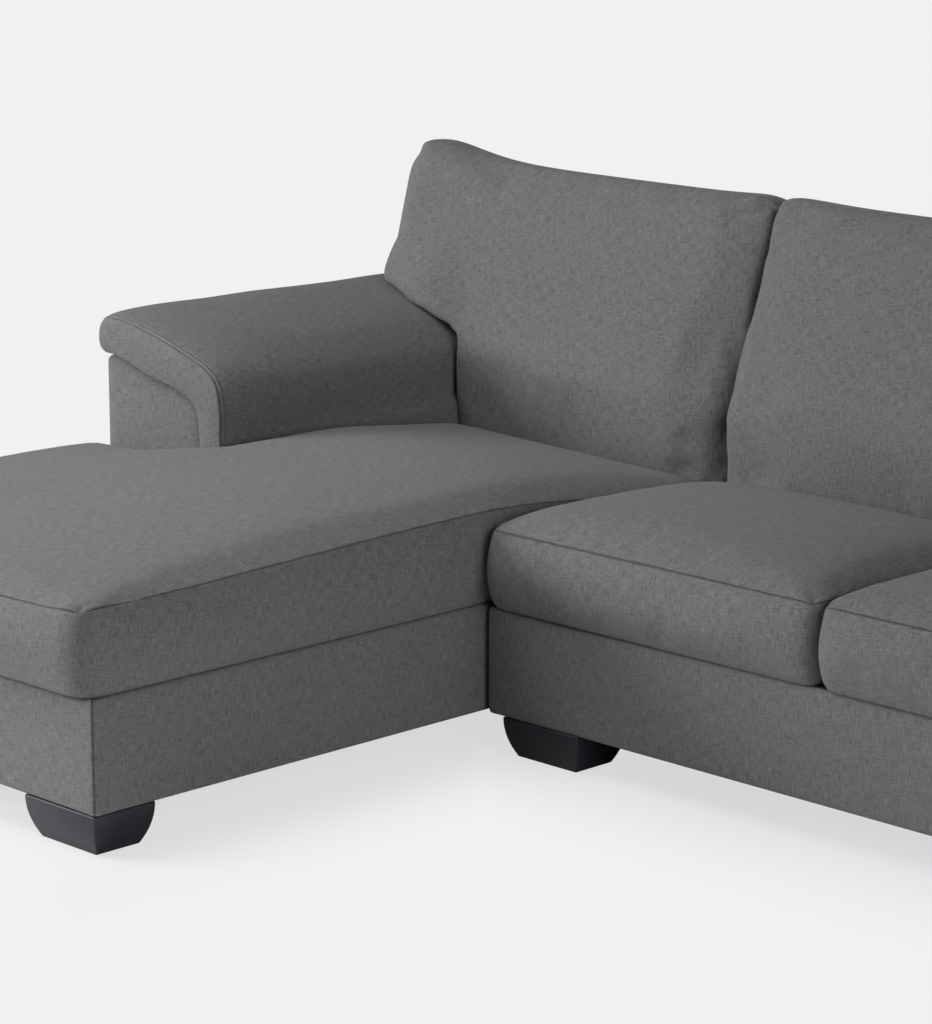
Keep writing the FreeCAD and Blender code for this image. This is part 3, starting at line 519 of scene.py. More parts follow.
def shapeCushion(bm, look, box, seed, seamHeight, step=None):
    # bend a sliced block into a crowned cushion: seam round the top, bulging border, soft bottom edge
    x0, x1, y0, y1, z0, z1 = box
    plan = (x0, x1, y0, y1)
    seam = seamPaint(bm)
    for vert in bm.verts:
        x, y, z = vert.co
        u, v, w = (x - x0) / (x1 - x0), (y - y0) / (y1 - y0), (z - z0) / (z1 - z0)
        top = z > z1 - touching
        bottom = z < z0 + touching
        inStep = step is not None and x < step[0] + touching and y > step[1] - touching
        rim = x < x0 + touching or x > x1 - touching or y < y0 + touching or y > y1 - touching or inStep
        edge = min(x - x0, x1 - x, y - y0, y1 - y)
        if step is not None and y > step[1] - 0.03:
            edge = min(x1 - x, y1 - y, max(x - step[0], step[1] - y))
        nearCorner = min(x - x0, x1 - x) + min(y - y0, y1 - y)
        seamZ = seamHeight(x, y) - math.exp(-nearCorner / look["dipReach"]) * look["dip"]
        newX, newY = cornerRounded(x, y, plan, look["round"])
        if top:
            across, deep = u, v
            if step:
                # beside the arm and in front of it the crown ends at the step
                beside, before = smoothStep(0.25, y - step[1] + 0.12), smoothStep(0.25, step[0] - x + 0.12)
                across += (max((x - step[0]) / (x1 - step[0]), 0) - u) * beside * (1 - before) * 0.5
                deep += (min((y - y0) / (step[1] - y0), 1) - v) * before
            lift = look["crown"] * crownShare(across, look["flat"]) * crownShare(deep, look["flat"])
            pucker = seamWave(x, y, seed) * look["pucker"] * math.exp(-edge / look["puckerReach"])
            ripple = wobble((x, y, 0), look["rippleSize"], seed) * look["ripple"] * smoothStep(0.12, edge)
            pinch = look["pinch"] * math.exp(-((nearCorner - look["pinchAt"]) / 0.022) ** 2)
            newZ = seamZ + lift + pucker + ripple + pinch + topStitched(edge, look)
            if rim:
                newZ -= look["seamDepth"] * 0.5
        else:
            newZ = z0 + w * (seamZ - z0)
            newZ += wobble((x, y, z), 0.05, seed) * 0.0012 * math.sin(math.pi * w)
        if rim and not inStep:
            out = outwardFrom(x, y, plan, look["round"])
            swell = math.sin(math.pi * min(max(w, 0), 1)) ** 0.75
            front, rear = max(-out.y, 0) ** 2, max(out.y, 0) ** 2
            alongSide = 0.6 + 0.4 * crownShare(u if front + rear > 0.5 else v, 8, 0.5)
            sideways = look["sideBulge"] * (1 - smoothStep(0.14, y - sofaFront + 0.1) * (step is not None))
            bulge = look["frontBulge"] * front + look["rearBulge"] * rear + sideways * out.x**2
            wave = wobble((x, y, z * 0.5), 0.09, seed + 5) * look["borderWave"]
            amount = bulge * swell * alongSide + wave * swell * (1 - rear)
            amount -= look["lowerTuck"] * math.exp(-(newZ - z0) / 0.008)
            if top:
                amount = -look["seamDepth"]
            newX += out.x * amount
            newY += out.y * amount
        # painted shade along the top seam, and a lighter painted shade where the bottom edge meets the base
        if rim and top:
            vert[seam] = 1.0
        if rim and bottom:
            vert[seam] = 0.6
        vert.co = (newX, newY, newZ)


seatLook = {
    **cushionLook,
    "round": 0.034,
    "crown": 0.046,
    "seam": 0.407,
    "fall": 0.022,
    "frontBulge": 0.019,
    "rearBulge": 0.001,
    "sideBulge": 0.006,
}


def looseSeats():
    for side, seed in (("left", 1), ("right", 2)):
        low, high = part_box(f"{side}_seat_cover")
        front = low.y + 0.011
        box = (low.x + 0.002, high.x - 0.002, front, high.y - 0.001, low.z, seatLook["seam"])
        names = (f"{side}_seat_cover", f"{side}_seat_foam")
        seatCushion(f"{side}SeatCushion", seatLook, f"{side}_seat_cushion", names, box, seed)


chaiseLook = {
    **cushionLook,
    "pitch": 0.019,
    "crown": 0.044,
    "seamFront": 0.413,
    "seamRise": 0.019,         # towards the place where the seat beside it begins
    "seamFall": 0.026,         # from there to the back
    "outerFall": 0.019,        # towards the outer side, in front of the arm
    "frontBulge": 0.014,
    "rearBulge": 0.001,
    "sideBulge": 0.008,
    "dip": 0.003,
    "pinch": 0.004,
    "flat": 2.8,
    "air": {"pressure": 3.0, "steps": 16, "reach": 0.010, "slack": 0.002, "bending": 0.8},
}


def chaiseSeat():
    look = chaiseLook
    low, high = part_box("chaise_seat_cover")
    x0, x1 = low.x + 0.008, high.x - 0.008
    y0, y1 = low.y + 0.002, high.y - 0.001
    stepX, stepY = armInner + 0.003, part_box("left_arm_cap")[0].y - 0.005
    z0, z1 = low.z, look["seamFront"]
    outline = [(x0, y0), (x1, y0), (x1, y1), (stepX, y1), (stepX, stepY), (x0, stepY)]
    bm = prism(outline, 2, z0, z1)
    xs = stations(x0, x1, look["pitch"], edgeCuts) + [stepX + d for d in edgeCuts]
    ys = stations(y0, y1, look["pitch"], edgeCuts) + [stepY - d for d in edgeCuts]
    sliced(bm, 0, xs)
    sliced(bm, 1, ys)
    sliced(bm, 2, stations(z0, z1, look["pitch"], edgeCuts[:4]))
    boxProjected(bm)

    def seamHeight(x, y):
        # highest where the seat beside it begins, and lower again at the back
        change = look["seamRise"] * smoothStep(1.0, (y - y0) / (sofaFront - y0))
        change -= (look["seamRise"] + look["seamFall"]) * smoothStep(y1 - sofaFront, y - sofaFront)
        inner = min(max((x - x0) / (x1 - x0), 0), 1)
        outer = look["outerFall"] * math.sqrt(1 - inner) * (1 - smoothStep(0.35, y - stepY + 0.05))
        return look["seamFront"] + change * (0.3 + 0.7 * inner) - outer

    shapeCushion(bm, look, (x0, x1, y0, y1, z0, z1), 4, seamHeight, step=(stepX, stepY))
    names = ("chaise_seat_cover", "chaise_seat_foam")
    made = clothPiece("chaiseSeatCushion", bm, "chaise_seat_cushion", names)
    airFilled(made, {**look["air"], "hold": heldAtSeams})


looseSeats()
chaiseSeat()
print("seat cushions made")


# back cushions

backLook = {
    "pitch": 0.02,
    "faceRows": 34,
    "top": 0.903,
    "kneeZ": 0.43,
    "lean": 0.128,             # how far the face goes back from the knee to the brow
    "brow": 0.040,             # how far the brow lies under the top
    "crown": 0.022,
    "ear": 0.034,              # how far the crest rises at the free end
    "belly": 0.017,            # how far the lower part swells over the seat
    "bellyZ": 0.52,
    "lowerTuck": 0.014,        # how far the bottom edge is drawn in
    "outerSwell": 0.013,
    "railNotch": (0.091, 0.830, 0.864),   # depth, foot and head of the room for the top rail
    "postNotch": 0.0505,       # depth of the room for the posts
    "notchSlant": 0.0005,
    "endRound": 0.050,
    "joinRound": (0.080, 0.036),   # where two cushions meet: a side cushion's end, the middle one's
    "endLean": 0.030,          # how far the free end leans inward at the top
    "joinShift": -0.012,       # how far the left join lies beside its seam
    "air": {"pressure": 2.0, "steps": 14, "reach": 0.010, "slack": 0.012, "bending": 0.5},
}


def armTopAt(x):
    # the height of the left arm's top at x, below which the back cushion doesn't reach
    points = armLook["roll"]
    if x >= points[-1][0]:
        return baseTop
    if x <= points[3][0]:
        return points[3][1]
    for (xa, za), (xb, zb) in zip(points[3:], points[4:]):
        if xa <= x <= xb:
            return za + (zb - za) * (x - xa) / max(xb - xa, 1e-6)
    return baseTop


def curved(start, pullStart, pullEnd, end, count):
    # a cubic curve, without its first point
    found = []
    for i in range(1, count + 1):
        t = i / count
        a, b, c, d = (1 - t) ** 3, 3 * t * (1 - t) ** 2, 3 * t * t * (1 - t), t**3
        points = zip(start, pullStart, pullEnd, end)
        found.append(tuple(a * p + b * q + c * r + d * s for p, q, r, s in points))
    return found


def backSlice(look, front, rear, top, bottom, bulge, over, outer, closed):
    # the outline of one upright slice: up the leaning face, over the crest, down behind
    knee, browZ = look["kneeZ"], top - look["brow"]
    rise = browZ - knee
    line = []
    for i in range(look["faceRows"] + 1):
        z = max(baseTop + (browZ - baseTop) * i / look["faceRows"], bottom)
        t = max(0.0, (z - knee) / rise)
        swell = math.sin(math.pi * min(max((z - 0.31) / (browZ + 0.03 - 0.31), 0), 1)) ** 1.5
        belly = look["belly"] * (1 + 1.3 * over - 1.5 * outer)
        belly *= math.exp(-((z - look["bellyZ"] - 0.13 * over) / 0.075) ** 2)
        belly -= look["lowerTuck"] * math.exp(-(z - bottom) / 0.008)
        upward = min(max((z - bottom) / (browZ + 0.03 - bottom), 0), 1)
        belly += look["outerSwell"] * outer * math.sin(math.pi * upward)
        line.append((front + look["lean"] * t ** 1.08 - bulge * swell - belly, z))
    crest = (rear - 0.092, top)
    slope = Vector((line[-1][0] - line[-2][0], line[-1][1] - line[-2][1])).normalized()
    pull = (line[-1][0] + slope.x * 0.03, line[-1][1] + slope.y * 0.03)
    line += curved(line[-1], pull, (crest[0] - 0.028, top), crest, 8)
    line += curved(crest, (crest[0] + 0.05, top), (rear, top - 0.015), (rear, top - 0.044), 7)
    # behind it stand the top rail and the posts; a closed slice leaves them no room
    rail, foot, head = look["railNotch"]
    post, slant = look["postNotch"], look["notchSlant"]
    if closed:
        rail = post = 0
    behind = [(rear, head + slant), (rear - rail, head - slant)]
    behind += [(rear - rail, foot + slant), (rear - post, foot - slant)]
    return line + [(y, max(z, bottom)) for y, z in behind] + [(rear - post, bottom)]


def crestHeight(look, share, armSide):
    # an ear where the cushion ends over the arm, a slack top beyond it and a small rise at the join
    outward = share if armSide > 0 else 1 - share
    if armSide == 0:
        left, right = math.exp(-(share / 0.16) ** 2), math.exp(-((1 - share) / 0.12) ** 2)
        return look["top"] + 0.006 * left + 0.003 * right
    ear = look["ear"] * math.exp(-(max(outward - 0.05, 0) / 0.15) ** 1.5)
    return look["top"] + ear + 0.006 * math.exp(-((1 - outward) / 0.12) ** 2)


def leaned(look, x, y, z, x0, x1, armSide):
    # the free end's front and crest lean in over the arm, while its rear stays beside the post
    up = min(max((z - 0.58) / 0.34, 0), 1) ** 2
    up *= max(smoothStep(0.08, backPlane - 0.1 - y), smoothStep(0.05, z - 0.866))
    join = look["joinShift"]
    atLeft, atRight = math.exp(-(x - x0) / 0.11), math.exp(-(x1 - x) / 0.11)
    if armSide > 0:
        return x + look["endLean"] * up * atLeft + join * atRight
    if armSide < 0:
        return x - look["endLean"] * up * atRight - join * atLeft
    return x + join * atLeft - join * atRight


def backCushion(name, look, body, node, armSide, seed):
    low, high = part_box(node)
    x0, x1 = low.x, high.x
    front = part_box("middle_back_cushion")[0].y + look["crown"]
    rear = high.y
    places = [x0, x1] + stations(x0, x1, look["pitch"], (0.002, 0.005, 0.01, 0.017, 0.027, 0.039, 0.054))
    if armSide:
        places.append(x0 + 0.0122 if armSide > 0 else x1 - 0.0122)
        edge = armInner * armSide
        places += [edge + armSide * d for d in (0.002, -0.001, -0.006, -0.013)]
    slices = []
    for x in sorted(places):
        share = (x - x0) / (x1 - x0)
        drawn = 0.0
        for away, free in ((x - x0, armSide > 0), (x1 - x, armSide < 0)):
            turn = look["endRound"] if free else look["joinRound"][armSide == 0]
            into = (1 - min(away / turn, 1)) ** 1.25
            drawn += turn * (1 - math.sqrt(1 - into * into)) * (0.8 if free else 0.95)
        bottom = armTopAt(x * armSide) + 0.0015 if armSide else baseTop + 0.001
        bulge = look["crown"] * crownShare(share, 3.4, 0.55)
        top = crestHeight(look, share, armSide) - min(drawn * 0.6, 0.022)
        line = []
        over = smoothStep(0.16, armInner + 0.04 - x * armSide) if armSide else 0.0
        outer = smoothStep(0.16, armInner - 0.12 - x * armSide) if armSide else 0.0
        closed = armSide != 0 and (x - x0 if armSide > 0 else x1 - x) < 0.0125
        for y, z in backSlice(look, front + drawn, rear, top, bottom, bulge, over, outer, closed):
            soft = wobble((x, 0, z), 0.22, seed) * 0.0035
            newY = min(y + soft * smoothStep(0.08, rear - y), rear)
            line.append((leaned(look, x, y, z, x0, x1, armSide), newY, z))
        slices.append(line)
    columns, rows = len(slices) - 1, len(slices[0])
    bm = bmesh.new()
    bmesh.ops.create_grid(bm, x_segments=columns, y_segments=rows, size=0.5)
    for vert in bm.verts:
        column, row = round((vert.co.x + 0.5) * columns), round((vert.co.y + 0.5) * rows)
        vert.co = slices[column][row % rows]
    bmesh.ops.remove_doubles(bm, verts=bm.verts[:], dist=1e-6)
    bmesh.ops.holes_fill(bm, edges=[e for e in bm.edges if e.is_boundary], sides=0)
    clothMapped(bm, lambda n, x, y, z: (y, z) if abs(n.x) > 0.9 else (x, z * 0.97 + y * 0.3))
    seamPaint(bm)
    made = clothPiece(name, bm, body, (node,))
    airFilled(made, {**look["air"], "hold": heldBehind})


def heldBehind(start, mesh):
    deep = backPlane - 0.1
    return [1.0 if v.y > deep or v.z < 0.34 else 0.0 for v in start]


# arms

armLook = {
    # the roll's top line in the left arm's section, from outside in, as (x, z)
    "roll": ((-1.4545, 0.632), (-1.444, 0.648), (-1.420, 0.655), (-1.375, 0.652), (-1.322, 0.642),
             (-1.277, 0.632), (-1.225, 0.618), (-1.169, 0.600), (-1.133, 0.585), (-1.112, 0.566),
             (-1.103, 0.545), (-1.0985, 0.515), (-1.098, 0.45), (-1.0975, baseTop)),
    # the seam between the roll and the panel, from outside in
    "seam": ((-1.4425, 0.583), (-1.415, 0.581), (-1.385, 0.575), (-1.345, 0.563), (-1.312, 0.552),
             (-1.275, 0.545), (-1.243, 0.540), (-1.208, 0.529), (-1.182, 0.518), (-1.168, 0.500),
             (-1.163, 0.470), (-1.163, 0.40), (-1.163, baseTop)),
    "nose": ((-1.4425, 0.583), (-1.4515, 0.592), (-1.4565, 0.610)),
    "cuts": (0.002, 0.005, 0.0078, 0.0092, 0.0106, 0.014, 0.022),
    "swell": 0.012,            # how far the roll rises behind its front seam
    "softer": 0.016,           # how far its inner shoulder is drawn in towards the back
    "shoulderX": -1.115,
    "stitchesAt": 0.0092,      # from the front seam to the second line of stitches
    "frontPillow": 0.006,      # how far the front face swells between its seams
    "seamRecess": 0.010,       # how far the front lies back at the seam over the panel
    "panelRecess": 0.011,
    "panelInner": -1.1665,
}


def smoothLine(points, count):
    # a curve through a few points, read off at even steps of its length
    controls = [Vector((x, 0, z)) for x, z in points]
    dense = []
    padded = [controls[0] * 2 - controls[1]] + controls + [controls[-1] * 2 - controls[-2]]
    for a, b, c, d in zip(padded, padded[1:], padded[2:], padded[3:]):
        slope, bend, twist = c - a, 2 * a - 5 * b + 4 * c - d, 3 * b - a - 3 * c + d
        for i in range(12):
            t = i / 12
            dense.append(0.5 * (2 * b + slope * t + bend * t**2 + twist * t**3))
    dense.append(controls[-1])
    lengths = [0.0]
    for a, b in zip(dense, dense[1:]):
        lengths.append(lengths[-1] + (b - a).length)
    found = []
    index = 0
    for i in range(count + 1):
        want = lengths[-1] * i / count
        while index < len(lengths) - 2 and lengths[index + 1] < want:
            index += 1
        t = (want - lengths[index]) / max(lengths[index + 1] - lengths[index], 1e-9)
        found.append(dense[index].lerp(dense[index + 1], t))
    return [(p.x, p.z) for p in found]


def gridPrism(columns, rows, place, start, end, cuts):
    # a block pulled along Y from start to end, whose end faces are grids shaped by place(column, row)
    bm = bmesh.new()
    bmesh.ops.create_grid(bm, x_segments=columns, y_segments=rows, size=0.5)
    for vert in bm.verts:
        x, z = place(round((vert.co.x + 0.5) * columns), round((vert.co.y + 0.5) * rows))
        vert.co = (x, start, z)
    bmesh.ops.remove_doubles(bm, verts=bm.verts[:], dist=touching)
    pulled = bmesh.ops.extrude_face_region(bm, geom=bm.faces[:])
    moved = [g for g in pulled["geom"] if isinstance(g, bmesh.types.BMVert)]
    bmesh.ops.translate(bm, verts=moved, vec=(0, end - start, 0))
    sliced(bm, 1, cuts)
    bmesh.ops.recalc_face_normals(bm, faces=bm.faces[:])
    return bm


def spaced(count, near):
    # shares from 0 to 1 that crowd together at both ends
    middle = [near[-1] + (1 - 2 * near[-1]) * i / count for i in range(1, count)]
    return [0.0] + list(near) + middle + [1 - n for n in reversed(near)] + [1.0]


def mirroredForRight(bm, side):
    if side == "right":
        bmesh.ops.scale(bm, vec=(-1, 1, 1), verts=bm.verts[:])
        bmesh.ops.reverse_faces(bm, faces=bm.faces[:])


def armRoll(side):
    low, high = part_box("left_arm_cap")
    front, rear = low.y + 0.002, high.y
    count = 60
    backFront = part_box("middle_back_cushion")[0].y
    over = smoothLine(armLook["nose"] + armLook["roll"], count)
    under = smoothLine(armLook["seam"], count)
    shares = spaced(4, (0.03, 0.08, 0.16, 0.27))

    def place(column, row):
        (xa, za), (xb, zb) = under[column], over[column]
        return xa + (xb - xa) * shares[row], za + (zb - za) * shares[row]

    bm = gridPrism(count, len(shares) - 1, place, front, rear, stations(front, rear, 0.022, armLook["cuts"]))
    reach, total = {}, 0.0
    for index, (x, z) in enumerate(over):
        total += math.dist(over[index - 1], (x, z)) if index else 0
        reach[spot(x, z, 4)] = (index, total)

    def uvAt(n, x, y, z):
        return (x, z) if abs(n.y) > 0.9 else (reach.get(spot(x, z, 4), (0, x + z))[1], y)

    clothMapped(bm, uvAt)
    seam = seamPaint(bm)
    lower = {spot(x, z, 4) for x, z in under}
    for vert in bm.verts:
        x, y, z = vert.co
        key = spot(x, z, 4)
        edge = y - front
        if key in reach:
            index = reach[key][0]
            a, b = over[max(index - 1, 0)], over[min(index + 1, count)]
            outward = Vector((-(b[1] - a[1]), 0, b[0] - a[0])).normalized()
            ends = smoothStep(0.06, reach[key][1])
            amount = wobble((x, y, z), 0.17, 21) * 0.0035 * smoothStep(0.1, edge) * ends
            amount += wobble((x, y, z), 0.018, 23) * 0.0011 * math.exp(-edge / 0.03) * ends
            rise = (1 - math.exp(-edge / 0.035)) * max(1 - 0.7 * edge / (backFront - front), 0)
            amount += armLook["swell"] * rise * ends * smoothStep(0.09, z - 0.44)
            shoulder = math.exp(-((x - armLook["shoulderX"]) / 0.05) ** 2) * (z > 0.45)
            amount -= armLook["softer"] * shoulder * smoothStep(0.35, edge)
            amount -= 0.0035 * math.exp(-edge / 0.005)
            amount += 0.0018 * math.exp(-((edge - 0.005) / 0.0024) ** 2)
            amount -= 0.0016 * math.exp(-((edge - armLook["stitchesAt"]) / 0.0014) ** 2)
            vert.co += outward * amount
            # painted shade along the second line of stitches
            if abs(edge - armLook["stitchesAt"]) < 1e-4:
                vert[seam] = 0.75
            vert.co.y += 0.0028 * math.exp(-edge / 0.01)
            # painted shade along the front seam
            if edge < touching:
                vert[seam] = 1.0
        elif key in lower:
            vert.co.y += armLook["seamRecess"] * math.exp(-edge / 0.03)
            # painted shade along the seam over the panel, at the front
            vert[seam] = 1.0 if edge < touching else 0.0
        elif edge < touching:
            closest = min(math.dist((x, z), p) for p in over)
            beneath = min(math.dist((x, z), p) for p in under)
            gap = min(closest, beneath)
            vert.co.y -= armLook["frontPillow"] * (1 - math.exp(-gap / 0.014)) - 0.001
            vert.co.y += wobble((x, 0, z), 0.05, 25) * 0.0008
    mirroredForRight(bm, side)
    made = clothPiece(f"{side}ArmRoll", bm, sectionOf[side], (f"{side}_arm_cap",))


def armPanel(side):
    low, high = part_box("left_arm_panel")
    outer, front, rear = low.x, sofaFront, high.y - 0.001
    count = 36
    inner = armLook["panelInner"]
    level = [(x, z - 0.004) for x, z in smoothLine(armLook["seam"][:10], 240)]
    across = [outer + (inner - outer) * s for s in spaced(count, (0.006, 0.02, 0.045, 0.08))]
    shares = spaced(14, (0.008, 0.022, 0.05))

    def topAt(x):
        z = next((z for px, z in level if px >= x), level[-1][1])
        corner = math.exp(-(x - outer) / 0.006) * 0.012
        return min(z, 0.577) - corner

    def place(column, row):
        x = across[column]
        return x, baseTop + (topAt(x) - baseTop) * shares[row]

    columns = len(across) - 1
    bm = gridPrism(columns, len(shares) - 1, place, front, rear, stations(front, rear, 0.03, edgeCuts))
    clothMapped(bm, lambda n, x, y, z: (x, z) if abs(n.y) > 0.9 else (y, z + x))
    seam = seamPaint(bm)
    for vert in bm.verts:
        x, y, z = vert.co
        edge = y - front
        top = topAt(x) - z
        if edge < touching:
            # painted shade along the seam at the panel's top, at the front
            vert[seam] = 1.0 if top < 1e-4 else 0.0
            gap = min(x - outer, inner - x, top)
            vert.co.y += 0.009 * math.exp(-gap / 0.007) + 0.002
            vert.co.y += wobble((x, 0, z), 0.1, 27) * 0.001 * smoothStep(0.04, gap)
        else:
            vert.co.y += armLook["panelRecess"] * math.exp(-edge / 0.028)
        if x < outer + touching:
            vert.co.x += 0.004 * math.exp(-edge / 0.005)
            vert.co.x += wobble((0, y, z), 0.2, 28) * 0.0016 * smoothStep(0.08, edge) + 0.0008
    mirroredForRight(bm, side)
    made = clothPiece(f"{side}ArmPanel", bm, sectionOf[side], (f"{side}_arm_panel",))


backCushion("leftBackCushion", backLook, "chaise_section", "left_back_cushion", 1, 11)
backCushion("middleBackCushion", backLook, "sofa_section", "middle_back_cushion", 0, 12)
backCushion("rightBackCushion", backLook, "sofa_section", "right_back_cushion", -1, 13)
for side in ("left", "right"):
    armRoll(side)
    armPanel(side)
print("backs and arms made")


# cloth on the bases and the rear

baseLook = {"thick": 0.006, "round": 0.007, "seamDepth": 0.0024, "pitch": 0.04}


def wrappedBase(name, body, x0, x1, y0, y1, nodes, seed):
    # one band of cloth round three sides of a base, with a stitched seam at each front corner
    look = baseLook
    turn = []
    r = look["round"]
    for cx, cy, start in ((x0 + r, y0 + r, math.pi), (x1 - r, y0 + r, 1.5 * math.pi)):
        angles = [start + math.pi / 2 * i / 6 for i in range(7)]
        turn.append([(cx + r * math.cos(a), cy + r * math.sin(a)) for a in angles])
    sideCount = max(2, round((y1 - y0) / look["pitch"]))
    frontCount = max(2, round((x1 - x0) / look["pitch"]))
    path = [(x0, y1), (x0, y1 - 0.002), (x0, y1 - 0.006)]
    path += [(x0, y1 + (y0 + r - y1) * i / sideCount) for i in range(1, sideCount)]
    path += turn[0]
    path += [(x0 + r + (x1 - x0 - 2 * r) * i / frontCount, y0) for i in range(1, frontCount)]
    path += turn[1]
    path += [(x1, y0 + r + (y1 - y0 - r) * i / sideCount) for i in range(1, sideCount)]
    path += [(x1, y1 - 0.006), (x1, y1 - 0.002), (x1, y1)]
    bm = bmesh.new()
    low = [bm.verts.new((x, y, footTop)) for x, y in path]
    edges = [bm.edges.new((a, b)) for a, b in zip(low, low[1:])]
    pulled = bmesh.ops.extrude_edge_only(bm, edges=edges)
    moved = [g for g in pulled["geom"] if isinstance(g, bmesh.types.BMVert)]
    bmesh.ops.translate(bm, verts=moved, vec=(0, 0, baseTop - footTop))
    sliced(bm, 2, stations(footTop, baseTop, 0.03, (0.003, 0.007, 0.013)))
    bmesh.ops.recalc_face_normals(bm, faces=bm.faces[:])
    lengths = {}
    total = 0.0
    for a, b in zip(path, path[1:]):
        lengths[spot(*a)] = total
        total += math.dist(a, b)
    lengths[spot(*path[-1])] = total
    clothMapped(bm, lambda n, x, y, z: (lengths.get(spot(x, y), 0.0), z))
    seam = seamPaint(bm)
    seams = {spot(*t[3]) for t in turn}
    for vert in bm.verts:
        x, y, z = vert.co
        outward = Vector((0, 0, 0))
        if x < x0 + r + touching:
            outward.x -= 1
        if x > x1 - r - touching:
            outward.x += 1
        if y < y0 + r + touching:
            outward.y -= 1
        outward.normalize()
        edge = min(z - footTop, baseTop - z)
        amount = wobble((x, y, z * 0.35), 0.12, seed) * 0.0018 * smoothStep(0.05, edge)
        amount += wobble((x, y, z * 0.2), 0.03, seed + 1) * 0.0007
        amount -= 0.005 * math.exp(-edge / 0.0035)
        vert.co += outward * amount
        # painted shade along the stitched seam at each front corner, beside its real groove
        if spot(x, y) in seams:
            vert[seam] = 1.0
            vert.co -= outward * look["seamDepth"]
    bmesh.ops.solidify(bm, geom=bm.faces[:], thickness=look["thick"] * 0.8)
    clothPiece(name, bm, body, nodes)


rearLook = {
    "pitch": 0.05,
    "inset": 0.047,            # how much narrower the cloth is above the arm
    "lap": 0.010,              # how far the step lies under the arm panel's top
    "edgeRound": 0.0035,
    "edgeCuts": (0.003, 0.008),
}


def rearCloth(side):
    node = "chaise_back_cover" if side == "left" else "sofa_back_cover"
    low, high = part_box(node)
    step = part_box(f"{side}_arm_panel")[1].z - rearLook["lap"]
    inset, cuts = rearLook["inset"], rearLook["edgeCuts"]
    if side == "left":
        outline = [(low.x, low.z), (high.x, low.z), (high.x, high.z), (low.x + inset, high.z),
                   (low.x + inset, step), (low.x, step)]
    else:
        outline = [(low.x, low.z), (high.x, low.z), (high.x, step), (high.x - inset, step),
                   (high.x - inset, high.z), (low.x, high.z)]
    bm = prism(outline, 1, low.y, high.y)
    sliced(bm, 0, stations(low.x, high.x, rearLook["pitch"], cuts) + [low.x + inset + d for d in cuts])
    sliced(bm, 2, stations(low.z, high.z, rearLook["pitch"], cuts))
    boxProjected(bm)
    seamPaint(bm)
    for vert in bm.verts:
        x, y, z = vert.co
        if y > high.y - touching:
            edge = min(x - low.x, high.x - x, z - low.z, high.z - z)
            vert.co.y -= rearLook["edgeRound"] * math.exp(-max(edge, 0) / 0.004)
            vert.co.y += wobble((x, 0, z), 0.2, 31) * 0.0012 * smoothStep(0.1, edge) - 0.0005
    clothPiece(f"{side}RearCloth", bm, sectionOf[side], (node,))


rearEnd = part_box("chaise_outer_cover")[1].y
wrappedBase("chaiseBaseCloth", "chaise_section", baseLeft, chaiseRight, chaiseFront, rearEnd,
            ("chaise_front_cover", "chaise_outer_cover", "chaise_inner_cover"), 41)
wrappedBase("sofaBaseCloth", "sofa_section", sofaLeft, baseRight, sofaFront, rearEnd,
            ("sofa_front_cover", "sofa_outer_cover", "sofa_inner_cover"), 43)
for side in ("left", "right"):
    rearCloth(side)
print("bases covered")


# feet

footShape = {"taperX": 0.020, "taperY": 0.019, "edge": 0.0022}


def blockFoot(node, body):
    low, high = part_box(node)
    centre = (low + high) / 2
    size = high - low
    bm = bmesh.new()
    bmesh.ops.create_cube(bm, size=1.0)
    bmesh.ops.scale(bm, vec=size, verts=bm.verts[:])
    bmesh.ops.translate(bm, vec=centre, verts=bm.verts[:])
    sliced(bm, 2, [low.z + size.z * i / 9 for i in range(1, 9)])
    for vert in bm.verts:
        down = (high.z - vert.co.z) / size.z
        for axis, taper in ((0, footShape["taperX"]), (1, footShape["taperY"])):
            radius = (taper**2 + size.z**2) / (2 * taper)
            drawn = radius - math.sqrt(radius**2 - (down * size.z) ** 2)
            half = size[axis] / 2
            sign = 1 if vert.co[axis] > centre[axis] else -1
            vert.co[axis] = centre[axis] + sign * (half - drawn)
    bm.edges.ensure_lookup_table()
    sharp = [e for e in bm.edges if e.calc_face_angle(0) > 0.6]
    bmesh.ops.bevel(bm, geom=sharp, offset=footShape["edge"], offset_type="OFFSET", segments=3, profile=0.5,
                    affect="EDGES", material=-1)
    piece(node.replace("_", "-") + "-block", bm, footBlack, body, (node,))


for node in sorted(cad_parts):
    if "_foot_" in node and "bolts" not in node:
        blockFoot(node, "chaise_section" if node.startswith("chaise") else "sofa_section")
print("feet made")


# what the CAD already gives

finishes = {
    "front_rail": pineAcross, "rear_rail": pineAcross, "side_rails": pineDeep, "spring_rail": pineAcross,
    "middle_rail": pineAcross, "corner_blocks": pineAcross, "back_posts": pineUpright,
    "back_top_rail": pineAcross, "arm_frame": pineUpright, "seat_springs": springSteel,
    "deck_pad": deckCloth, "dust_cover": dustCloth, "foot_bolts": zincSteel, "hook_loops": zincSteel,
    "hook_tongues": zincSteel, "back_straps": webbing,
}
for name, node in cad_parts.items():
    for ending, finish in finishes.items():
        if name.endswith(ending):
            node.data.materials.clear()
            node.data.materials.append(finish)
print("frame finished")


# floor, light and camera

studio = {
    "camera": (3.8449, -4.2311, 1.8109),
    "yaw": 45.42,
    "pitch": 12.93,
    "lens": 124.33,
    "backdrop": 0.879,
    "floor": 0.95,
    "shadowReach": (-0.06, 0.30),   # from where to where, outside the footprint, the shadow fades
    "evenFloor": 0.76,         # how much of the floor's own shade is evened out for the camera
    "world": 0.49,
}


footprint = [
    (Vector((baseLeft, chaiseFront, 0)), Vector((chaiseRight, backPlane, 1))),
    (Vector((sofaLeft, sofaFront, 0)), Vector((baseRight, backPlane, 1))),
]


